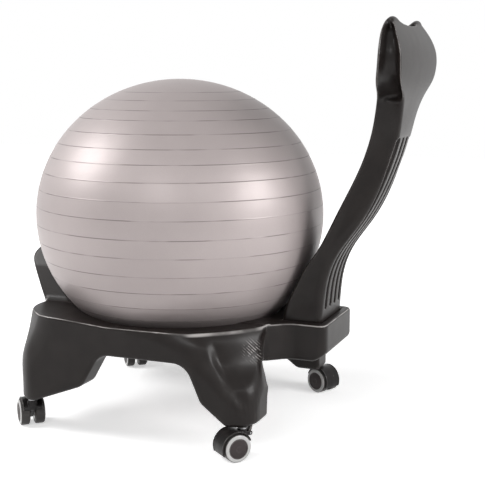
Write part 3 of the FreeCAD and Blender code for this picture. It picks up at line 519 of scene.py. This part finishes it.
def backrest_field(block):
    """The column and its pad: a profile drawn across, cut to its width, dished at the sides and grooved."""
    profile = smooth_outline([(y, z) for z, y in BACKREST_FRONT.items()])
    profile += [(430, 780), (520, 780), (520, 150)]
    half = COLUMN_EDGE + PAD_EDGE
    outline = smooth_outline(half + [PAD_NOTCH] + [(-x, z) for x, z in reversed(half)])
    side = block.side_view(profile)
    face = block.front_view(outline)

    # The sides are dished between a front and a rear rim, deeply at the ends of the pad.
    front = block.along_z(BACKREST_FRONT)
    rear = block.along_z(BACKREST_REAR)
    across = (block.Y - (front + rear) / 2) / ((rear - front) / 2)
    bowl = np.clip(1 - np.abs(across / 0.84) ** 2.6, 0, 1)
    depth = 4.5 * step_up((block.Z - 214) / 40) + 12 * step_up((block.Z - 606) / 16)
    face = face + depth * step_up((749 - block.Z) / 22) * bowl

    crown = block.along_z({150: 2, 560: 2, 650: 3, 750: 3})
    crown = crown * np.minimum(np.abs(block.X) / block.along_z(HALF_WIDTH), 1) ** 2
    slope = np.gradient(rear[0, 0], block.step)
    back = (block.Y - rear + crown) / np.sqrt(1 + slope**2)
    body = both(side, face, 7)
    body = both(body, back, block.along_z({150: 5, 230: 11, 560: 11, 640: 6, 750: 6}))

    past = np.maximum(GROOVE_LOW - block.Z, 0) + np.maximum(block.Z - GROOVE_HIGH, 0)
    floor = -(back + GROOVE_DEPTH * step_up((565 - block.Z) / 26))
    for index in range(GROOVES):
        middle = (index - (GROOVES - 1) / 2) * GROOVE_SPACING
        groove = np.maximum(np.hypot(block.X - middle, past) - GROOVE_HALF_WIDTH, floor)
        body = without(body, groove, 1.0)
    return np.maximum(body, SOCKET_FLOOR + 0.4 - block.Z)


def build_backrest():
    """The backrest, as one moulding."""
    block = Block((-153, 226, 156), (153, 468, 756), 1.5)
    piece = skin_of(backrest_field(block), block, "backrest_moulding")
    stand_for(piece, "backrest")


# Turned pieces: the ball and the wheels


def turned_piece(name, outline, count, place, closed=False):
    """An outline of (radius, height) points turned round its own upright axis and set in place."""
    line = np.array(outline, dtype=float)
    turn = np.linspace(0, 2 * math.pi, count, endpoint=False)
    rows = np.stack(
        [
            line[:, :1] * np.cos(turn),
            line[:, :1] * np.sin(turn),
            np.repeat(line[:, 1:], count, axis=1),
        ],
        axis=2,
    )
    here = np.arange(count)
    after = np.roll(here, -1)
    low = np.arange(len(line) - (not closed))
    high = (low + 1) % len(line)
    low = low[:, None] * count
    high = high[:, None] * count
    faces = np.stack([low + here, low + after, high + after, high + here], axis=2)
    piece = mesh_object(name, rows.reshape(-1, 3) * MM, faces.reshape(-1, 4))
    shape = bmesh.new()
    shape.from_mesh(piece.data)
    bmesh.ops.remove_doubles(shape, verts=shape.verts, dist=1e-7)
    shape.transform(place)
    shape.to_mesh(piece.data)
    shape.free()
    return piece


# Where the ball's ribs run, in degrees above and below its widest line, and how high and wide they are
RIB_LATITUDES = (65.4, 58.8, 52.2, 46.6, 39.7, 33.0, 26.6, 19.6)
RIB_LATITUDES += (12.3, 5.2, -2.2, -9.4, -17.0, -24.4, -32.2, -39.6)
RIB_HEIGHT = 0.25
RIB_WIDTH = 0.8


def build_ball():
    """The ball's skin, sitting a little flat in its ring, with thin moulded ribs round it."""
    steps = [0, 0.35, 0.7, 1.0, 1.4, 2.0]
    near = {rib + way * step / 4.6 for rib in RIB_LATITUDES for step in steps for way in (-1, 1)}
    even = np.arange(-90, 91, 2.0)
    between = {angle for angle in even if min(abs(angle - rib) for rib in RIB_LATITUDES) > 0.9}
    levels = np.radians(sorted(near | between))
    past = np.abs(levels[:, None] - np.radians(RIB_LATITUDES)).min(axis=1) * BALL_HALF_WIDTH
    proud = RIB_HEIGHT * np.exp(-((past / RIB_WIDTH) ** 2))
    outward = np.stack([np.cos(levels) / BALL_HALF_WIDTH, np.sin(levels) / BALL_HALF_HEIGHT], axis=1)
    outward /= np.linalg.norm(outward, axis=1)[:, None]
    across = np.maximum(BALL_HALF_WIDTH * np.cos(levels) + outward[:, 0] * proud, 0)
    height = BALL_HALF_HEIGHT * np.sin(levels) + outward[:, 1] * proud
    across[[0, -1]] = 0
    place = Matrix.Translation((0, BALL_Y * MM, BALL_Z * MM))
    piece = turned_piece("ball_skin", np.stack([across, height], axis=1), 256, place)
    stand_for(piece, "exercise_ball")


# Casters

WHEEL_RADIUS = 25
WHEEL_WIDTH = 18
HUB_RADIUS = 18
CAP_RADIUS = 15.4

# The hood: its cover over the wheels, its boss round the stem, the axle's hole, and the brake's slot and pin
TRAIL = 19
HOOD_INNER = 26.3
HOOD_OUTER = 28.3
HOOD_HALF_WIDTH = 19
BOSS_RADIUS = 8.5
STEM_HOLE = 3.05
AXLE_HOLE = 3
LEVER_HALF_WIDTH = 4.9
PIN_REACH = 13
PIN_HEIGHT = 43.7
PIN_HOLE = 1.5


def standing(point, way):
    """The place of a piece whose own upright axis points along way from the point."""
    return Matrix.Translation(point) @ Vector(way).to_track_quat("Z", "Y").to_matrix().to_4x4()


def build_wheel(spin):
    """A pale tyre with rounded shoulders on a dark hub with a stepped, domed cap."""
    corner, end, side = spin["child"].split("_")[:3]
    outward = Vector(spin["axis"]) * (1 if side == "left" else -1)
    place = standing(Vector(spin["pos_m"]) - outward * (WHEEL_WIDTH / 2 * MM), outward)
    node = f"{corner}_{end}_{side}"
    section = rounded(
        [
            (HUB_RADIUS, 0.3, 0.3),
            (WHEEL_RADIUS, 0, 3.2),
            (WHEEL_RADIUS, WHEEL_WIDTH, 4),
            (HUB_RADIUS, WHEEL_WIDTH + 0.5, 0.8),
        ],
        steps=6,
    )
    tyre = turned_piece(f"{node}_tyre_ring", section, 96, place, closed=True)
    for face in tyre.data.polygons:
        face.material_index = int(face.normal.dot(outward) < 0.6)
    stand_for(tyre, f"{node}_tyre")
    face = [(0, 0.6), (6.2, 0.6), (6.9, 0), (HUB_RADIUS - 0.1, 0), (HUB_RADIUS - 0.1, WHEEL_WIDTH - 0.4)]
    face += [(HUB_RADIUS - 0.7, WHEEL_WIDTH + 0.4), (HUB_RADIUS - 1.4, WHEEL_WIDTH + 0.4)]
    face += [(HUB_RADIUS - 1.9, WHEEL_WIDTH - 0.3), (HUB_RADIUS - 2.5, WHEEL_WIDTH - 0.2)]
    radii = (CAP_RADIUS, 14, 12, 9.5, 7, 4.6)
    dome = [(radius, WHEEL_WIDTH + 1.5 - 1.6 * (radius / CAP_RADIUS) ** 2) for radius in radii]
    dome += [(4.2, WHEEL_WIDTH + 1.0), (3.4, WHEEL_WIDTH + 0.8), (0, WHEEL_WIDTH + 0.8)]
    stand_for(turned_piece(f"{node}_wheel_disc", face + dome, 72, place), f"{node}_wheel_hub")


def hood_field(block, brake):
    """A hood with its stem's axis upright at the origin and the wheels trailing towards +X."""
    from_wheel = np.hypot(block.X - TRAIL, block.Z - WHEEL_RADIUS)
    sideways = np.abs(block.Y)
    body = both(block.R - BOSS_RADIUS, np.abs(block.Z - 38) - 14.7, 1)
    if brake:
        lug = both(np.abs(block.X + 10.4) - 6.1, np.abs(block.Z - PIN_HEIGHT) - 3.5, 2.4)
        body = joined(body, both(np.maximum(lug, sideways - 7.4), LEVER_HALF_WIDTH - sideways, 0.5), 0.8)
    body = without(body, from_wheel - HOOD_INNER, 0.5)
    body = joined(body, both(from_wheel - HOOD_OUTER + 1, sideways - 4, 0.5), 2)
    cover = np.maximum(from_wheel - HOOD_OUTER, HOOD_INNER - from_wheel)
    body = joined(body, both(cover, sideways - HOOD_HALF_WIDTH, 0.7), 1.6)
    bead = np.hypot(from_wheel - HOOD_OUTER, sideways - 17.9) - 0.85
    body = joined(body, bead, 0.5)
    below = [(-40, -20), (53, -20), (53, 13), (TRAIL, 13), (-8.5, 35.7), (-40, 35.7)]
    body = without(body, block.front_view(below), 0.8)
    body = without(body, np.maximum(block.R - STEM_HOLE, 43.7 - block.Z), 0.3)
    body = without(body, from_wheel - AXLE_HOLE, 0.2)
    if brake:
        slot = np.maximum(np.maximum(sideways - LEVER_HALF_WIDTH, block.X + 8.9), 39.2 - block.Z)
        body = without(body, slot, 0.4)
        body = without(body, np.hypot(block.X + PIN_REACH, block.Z - PIN_HEIGHT) - PIN_HOLE, 0.1)
    return body


def build_casters():
    """Two wheels and a hood on each stem, each hood turned the way its wheels trail."""
    spins = [joint for joint in frame["joints"] if joint["name"].endswith("wheel_spin")]
    for spin in spins:
        build_wheel(spin)
    block = Block((-18, -20.4, 11), (49, 20.4, 54), 0.6)
    patterns = {brake: skin_of(hood_field(block, brake), block, "hood_pattern") for brake in (False, True)}
    for swivel in frame["joints"]:
        if not swivel["name"].endswith("swivel_turn"):
            continue
        caster = swivel["name"].removesuffix("_swivel_turn")
        wheels = [Vector(spin["pos_m"]) for spin in spins if spin["parent"] == swivel["child"]]
        stem = Vector((swivel["pos_m"][0], swivel["pos_m"][1], 0))
        trail = sum(wheels, Vector()) / 2 - stem
        brake = f"{caster}_brake_lever" in frame["nodes"]
        piece = copy_of(patterns[brake], f"{caster}_hood_moulding")
        at_origin = Matrix.Translation((0, -BALL_Y * MM, 0))
        turned = Matrix.Rotation(math.atan2(trail.y, trail.x), 4, "Z")
        piece.data.transform(Matrix.Translation(stem) @ turned @ at_origin)
        stand_for(piece, f"{caster}_caster_hood")
    for pattern in patterns.values():
        bpy.data.objects.remove(pattern)


# Finishes: arithmetic on a Value adds the Math nodes that work it out over a surface


def arithmetic(operation, swapped=False):
    """A method of Value that works out one operation with another Value or a plain number."""

    def apply(self, other):
        first, second = (other, self) if swapped else (self, other)
        return self.finish.math(operation, first, second)

    return apply


class Value:
    """A number that varies over a surface, at one output of a finish's nodes."""

    def __init__(self, finish, socket):
        self.finish = finish
        self.socket = socket

    __add__ = __radd__ = arithmetic("ADD")
    __mul__ = __rmul__ = arithmetic("MULTIPLY")
    __sub__ = arithmetic("SUBTRACT")
    __rsub__ = arithmetic("SUBTRACT", swapped=True)
    __truediv__ = arithmetic("DIVIDE")
    __rtruediv__ = arithmetic("DIVIDE", swapped=True)


class Shading:
    """The nodes that feed one shader, of a material or of the world."""

    def __init__(self, owner, shader):
        owner.use_nodes = True
        self.tree = owner.node_tree
        self.shader = self.tree.nodes[shader]

    def node(self, kind, settings=None, inputs=None, output=0):
        """Add a node: its settings first, then its sockets; gives one of its outputs."""
        node = self.tree.nodes.new(kind)
        for name, value in (settings or {}).items():
            setattr(node, name, value)
        for name, value in (inputs or {}).items():
            self.feed(node.inputs[name], value)
        return Value(self, node.outputs[output])

    def feed(self, socket, value):
        """Link a Value to a socket, or set the socket to anything else."""
        if isinstance(value, Value):
            self.tree.links.new(value.socket, socket)
        else:
            socket.default_value = value

    def math(self, operation, first, second):
        """One step of arithmetic."""
        return self.node("ShaderNodeMath", {"operation": operation}, {0: first, 1: second})

    def set(self, **inputs):
        """Feed the shader's own sockets."""
        for name, value in inputs.items():
            self.feed(self.shader.inputs[name.replace("_", " ").title().replace("Ior", "IOR")], value)


class Finish(Shading):
    """A material built round one Principled shader."""

    def __init__(self, name):
        self.material = bpy.data.materials.new(name)
        super().__init__(self.material, "Principled BSDF")
        self.place = self.node("ShaderNodeTexCoord", output="Object")

    def noise(self, size, detail, stretch=(1, 1, 1)):
        """Soft random variation from 0 to 1, with marks about size millimetres across."""
        place = self.place
        if stretch != (1, 1, 1):
            place = self.node("ShaderNodeVectorMath", {"operation": "MULTIPLY"}, {0: place, 1: stretch})
        inputs = {"Vector": place, "Scale": 1000 / size, "Detail": detail}
        return self.node("ShaderNodeTexNoise", {}, inputs, "Fac")

    def band(self, value, start, end):
        """0 where the value is below start and 1 above end, smooth between."""
        settings = {"interpolation_type": "SMOOTHSTEP"}
        inputs = {"Value": value, "From Min": start, "From Max": end}
        return self.node("ShaderNodeMapRange", settings, inputs)

    def mixed(self, share, first, second):
        """From the first colour to the second as share goes from 0 to 1."""
        settings = {"data_type": "RGBA"}
        inputs = {0: share, 6: first, 7: second}
        return self.node("ShaderNodeMix", settings, inputs, 2)

    def edges(self, low, high):
        """1 on sharp outer edges, from how far the surface bulges."""
        return self.band(self.node("ShaderNodeNewGeometry", output="Pointiness"), low, high)

    def upward(self, vector):
        """The upright part of a place or a direction."""
        return self.node("ShaderNodeSeparateXYZ", {}, {0: vector}, "Z")

    def measured(self, operation, *vectors):
        """The number that a vector operation gives, such as a distance."""
        return self.node("ShaderNodeVectorMath", {"operation": operation}, dict(enumerate(vectors)), "Value")

    def bump(self, height, depth):
        """Raise the surface by height times depth millimetres."""
        inputs = {"Height": height, "Distance": depth * MM, "Strength": 1.0}
        self.set(normal=self.node("ShaderNodeBump", {}, inputs, "Normal"))


def shade(red, green, blue):
    """A colour from the 0 to 255 numbers that a screen shows."""
    parts = [part / 255 for part in (red, green, blue)]
    return (*(part / 12.92 if part < 0.04045 else ((part + 0.055) / 1.055) ** 2.4 for part in parts), 1)


def moulded_plastic(name, dark, light, grain=0.03, gloss=0.4):
    """Satin black-brown plastic with a fine moulded grain, soft mottling and a painted highlight on glossier
    edges.
    """
    finish = Finish(name)
    mottle = finish.noise(38, 3)
    # The sharp outer edges get a glossier coat and, in patches, a pale colour that is a painted highlight.
    edge_gloss_and_painted_highlight = finish.edges(0.516, 0.57)
    painted_highlight_patches = finish.band(finish.noise(14, 3), 0.3, 0.6) * 0.25 + 0.4
    plain = finish.mixed(mottle, dark, light)
    # Mixing the edges towards pale grey paints a highlight on them.
    finish.colour = finish.mixed(edge_gloss_and_painted_highlight * painted_highlight_patches, plain, shade(112, 105, 102))
    grains = finish.noise(0.8, 1)
    finish.set(base_color=finish.colour, roughness=mottle * 0.1 + grains * 0.06 + (gloss - 0.08))
    finish.set(specular_ior_level=0.15, coat_weight=edge_gloss_and_painted_highlight * 0.85 + mottle * 0.1 + 0.05, coat_roughness=0.2)
    finish.bump(grains, grain)
    return finish


def turned_metal(name, dark, light, size, stretch):
    """Bare metal with fine turning marks, and the marks themselves."""
    finish = Finish(name)
    marks = finish.noise(size, 2, stretch)
    finish.set(base_color=finish.mixed(marks, dark, light), roughness=marks * 0.2 + 0.25, metallic=1.0)
    return finish, marks


def plain_plastic(name, dark, light, size, gloss):
    """Smooth plastic of nearly one colour."""
    finish = Finish(name)
    cloud = finish.noise(size, 2)
    finish.set(base_color=finish.mixed(cloud, dark, light), roughness=cloud * 0.15 + gloss)
    return finish


def paint(finish, *names):
    """Every surface of the named pieces gets the finish."""
    for name in names:
        slots = bpy.data.objects[name].data.materials
        while slots:
            slots.pop()
        slots.append(finish.material)


# The scratched patch of the left rear leg: its middle, the direction across the scratches, their spacing
SCRATCHED_PLACE = (150, 202, 172)
ACROSS_SCRATCHES = (-0.3, 0.65, 0.7)
SCRATCH_SPACING = 1.9


def scratch(finish):
    """A patch of fine slanting scratches on the left rear leg."""
    x, y, z = SCRATCHED_PLACE
    away = finish.measured("DISTANCE", finish.place, Vector((x, y + BALL_Y, z)) * MM)
    across = finish.measured("DOT_PRODUCT", finish.place, ACROSS_SCRATCHES)
    line = finish.math("PINGPONG", across, SCRATCH_SPACING * MM)
    line = finish.band(line, 0.9 * MM, SCRATCH_SPACING * MM)
    patch = finish.band(away, 30 * MM, 10 * MM) * finish.band(finish.noise(7, 2), 0.36, 0.6)
    finish.colour = finish.mixed(line * patch * 0.75, finish.colour, shade(205, 200, 198))
    finish.set(base_color=finish.colour)


def paint_rim_highlight(finish):
    """A painted highlight: a thin pale line along the rounded outer edge of the ring's top."""
    height = finish.upward(finish.place)
    facing_up = finish.upward(finish.node("ShaderNodeNewGeometry", output="Normal"))
    level = finish.band(height, (RIM - 8) * MM, (RIM - 5) * MM)
    level = level * finish.band(height, (SHOULDER + 4) * MM, SHOULDER * MM)
    edge = finish.band(facing_up, 0.42, 0.6) * finish.band(facing_up, 0.84, 0.7)
    patchy = finish.band(finish.noise(45, 2), 0.35, 0.65) * 0.5 + 0.12
    # The pale colour mixed in along the rim is a painted highlight.
    finish.colour = finish.mixed(level * edge * patchy, finish.colour, shade(225, 220, 217))
    finish.set(base_color=finish.colour)


def finish_frame():
    """One plastic for the base and the backrest, scratched on one leg, with a highlight painted along the
    ring's rim.
    """
    plastic = moulded_plastic("frame_plastic", shade(22, 18, 17), shade(34, 29, 27))
    scratch(plastic)
    paint_rim_highlight(plastic)
    paint(plastic, "side_frame_left_moulding", "side_frame_right_moulding")
    paint(plastic, "front_cross_piece_moulding", "rear_cross_piece_moulding", "backrest_moulding")


def rib_shade_lines(finish):
    """1 along the ball's moulded ribs, where a thin line of shade is painted, and 0 between them."""
    height = finish.upward(finish.place)
    nearest = 1.0
    for latitude in np.radians(RIB_LATITUDES):
        level = (BALL_Z + BALL_HALF_HEIGHT * math.sin(latitude)) * MM
        away = finish.math("ABSOLUTE", height - level, 0.0) / math.cos(latitude)
        nearest = finish.math("MINIMUM", away, nearest)
    return finish.band(nearest, 1.1 * MM, 0.4 * MM)


def finish_ball():
    """Pearly vinyl with fine flakes, faint clouds, painted shade along its ribs and a soft coat, and the
    valve plug's pale plastic.
    """
    vinyl = Finish("ball_vinyl")
    clouds = vinyl.noise(70, 3)
    flakes = vinyl.noise(0.9, 1)
    creases = vinyl.noise(26, 4, (1, 1, 0.35))
    pearl = vinyl.mixed(clouds * 0.5 + flakes * 0.5, shade(163, 153, 152), shade(183, 173, 172))
    faded = vinyl.band(vinyl.noise(75, 2), 0.36, 0.6) * 0.6 + 0.1
    # Each rib gets a thin dark line of painted shade, faded in patches.
    colour = vinyl.mixed(rib_shade_lines(vinyl) * faded, pearl, shade(84, 76, 75))
    vinyl.set(base_color=colour, roughness=clouds * 0.08 + creases * 0.06 + 0.4, metallic=0.3)
    vinyl.set(specular_ior_level=0.3, coat_weight=flakes * 0.1 + 0.05, coat_roughness=0.22)
    vinyl.bump(creases + flakes * 0.05, 0.22)
    paint(vinyl, "ball_skin")
    paint(plain_plastic("plug_plastic", shade(196, 194, 188), shade(222, 220, 214), 3, 0.35), "valve_plug")


def finish_small_pieces():
    """The casters, and the fixings and metal pieces inside the chair."""
    black = moulded_plastic("caster_plastic", shade(22, 20, 20), shade(34, 31, 31), gloss=0.3)
    disc = moulded_plastic("hub_plastic", shade(46, 40, 40), shade(70, 63, 63), grain=0.09, gloss=0.5)
    tyre = Finish("tyre_rubber")
    wear = tyre.noise(5, 3)
    dust = tyre.band(tyre.noise(14, 3), 0.5, 0.8)
    tyre.set(base_color=tyre.mixed(dust * 0.6, shade(196, 195, 194), shade(160, 157, 154)))
    tyre.set(roughness=wear * 0.18 + 0.24, coat_weight=0.2, coat_roughness=0.2)
    tyre.bump(wear, 0.06)
    tread = moulded_plastic("tread_rubber", shade(50, 48, 47), shade(76, 73, 72))
    steel, marks = turned_metal("steel", shade(150, 150, 152), shade(188, 188, 190), 0.7, (1, 1, 6))
    steel.bump(marks, 0.02)
    brass, _ = turned_metal("brass", shade(176, 142, 78), shade(206, 172, 104), 0.8, (1, 1, 5))
    nylon = plain_plastic("sleeve_nylon", shade(46, 45, 44), shade(64, 62, 60), 2, 0.4)
    for node in frame["nodes"]:
        kind = node.rsplit("_", 1)[-1]
        if node.endswith("_caster_hood"):
            paint(black, node.replace("_caster_hood", "_hood_moulding"))
        elif node.endswith("_wheel_hub"):
            paint(disc, node.replace("_wheel_hub", "_wheel_disc"))
        elif node.endswith("_tyre"):
            paint(tyre, f"{node}_ring")
            bpy.data.objects[f"{node}_ring"].data.materials.append(tread.material)
        elif node.endswith("_stem_sleeve"):
            paint(nylon, node)
        elif node.endswith("_brake_lever"):
            paint(black, node)
        elif kind in ("stem", "axle", "pin", "bolts", "washers", "screws", "rings"):
            paint(steel, node)
        elif kind == "inserts":
            paint(brass, node)


# The studio: the floor's half width in metres, the light that the surround gives off, and the share of its
# white that the floor shows under the chair
FLOOR_REACH = 6
WORLD_LIGHT = 0.1
FLOOR_GLOW = 0.52

# The camera, measured from the ball's axis in metres, and what it looks at
CAMERA_X, CAMERA_Y, CAMERA_Z = 1.8068, 0.8484, 0.6647
TARGET_X, TARGET_Z = -0.3213, 0.2649


def build_studio():
    """A pale floor that runs out to a white surround, five soft lamps and the camera."""
    floor_mesh = bpy.data.meshes.new("floor")
    corners = [(x * FLOOR_REACH, y * FLOOR_REACH, 0) for x, y in ((-1, -1), (1, -1), (1, 1), (-1, 1))]
    floor_mesh.from_pydata(corners, [], [(0, 1, 2, 3)])
    floor = bpy.data.objects.new("floor", floor_mesh)
    bpy.context.scene.collection.objects.link(floor)
    paper = Finish("floor_paper")
    fibre = paper.noise(4, 3)
    paper.set(base_color=paper.mixed(fibre, (0.93, 0.93, 0.93, 1), (0.96, 0.96, 0.96, 1)), roughness=0.9)
    glow = paper.band(paper.measured("LENGTH", paper.place), 0.5, 1.5) * (1 - FLOOR_GLOW) + FLOOR_GLOW
    white = paper.mixed(white_for_the_eye(paper) * glow, (0, 0, 0, 1), (1, 1, 1, 1))
    paper.set(emission_color=white, emission_strength=1.0)
    paint(paper, "floor")

    world = bpy.data.worlds.new("studio")
    bpy.context.scene.world = world
    around = Shading(world, "Background")
    around.set(color=(1, 1, 1, 1), strength=white_for_the_eye(around) * (1 - WORLD_LIGHT) + WORLD_LIGHT)

    # The lamps stand where the highlights on the ball show them: degrees round from +X and above the ball's
    # middle, then distance, width and height in metres, and power in watts.
    soft_lamp("left_softbox", -66, 35, 2.4, 1.2, 1.1, 44)
    soft_lamp("camera_softbox", 8, 28, 2.6, 1.0, 0.5, 12)
    soft_lamp("middle_softbox", 48, 28, 2.6, 1.6, 0.3, 5)
    soft_lamp("right_softbox", 86, 20, 2.4, 1.0, 0.9, 33)
    soft_lamp("back_softbox", 156, -8, 2.4, 1.2, 0.3, 1.2)

    camera = bpy.data.objects.new("camera", bpy.data.cameras.new("camera"))
    bpy.context.scene.collection.objects.link(camera)
    camera.location = (CAMERA_X, CAMERA_Y + BALL_Y * MM, CAMERA_Z)
    camera.data.lens = 74.8
    camera.data.sensor_width = 36
    camera.rotation_euler = facing(camera.location, (TARGET_X, BALL_Y * MM, TARGET_Z))
    bpy.context.scene.camera = camera
    bpy.context.scene.view_settings.view_transform = "Standard"


def white_for_the_eye(finish):
    """1 for rays from the camera, a mirror or glass, 0 for the light that reaches other surfaces."""
    kinds = ("Camera", "Glossy", "Transmission")
    camera, mirror, glass = (finish.node("ShaderNodeLightPath", output=f"Is {kind} Ray") for kind in kinds)
    return finish.math("MINIMUM", camera + mirror + glass, 1.0)


def facing(start, target):
    """The turn of a camera or lamp that looks from the start to the target."""
    return (Vector(target) - Vector(start)).to_track_quat("-Z", "Y").to_euler()


def soft_lamp(name, turn, rise, distance, width, height, power):
    """A softbox aimed at the ball's middle from turn degrees round from +X and rise degrees above it."""
    turn, rise = math.radians(turn), math.radians(rise)
    way = Vector((math.cos(rise) * math.cos(turn), math.cos(rise) * math.sin(turn), math.sin(rise)))
    middle = Vector((0, BALL_Y, BALL_Z)) * MM
    lamp = bpy.data.objects.new(name, bpy.data.lights.new(name, "AREA"))
    lamp.data.shape = "RECTANGLE"
    lamp.data.size = width
    lamp.data.size_y = height
    lamp.data.energy = power
    lamp.location = middle + way * distance
    lamp.rotation_euler = facing(lamp.location, middle)
    lamp.visible_camera = False
    bpy.context.scene.collection.objects.link(lamp)


build_frame()
build_backrest()
build_ball()
build_casters()
finish_frame()
finish_ball()
finish_small_pieces()
build_studio()
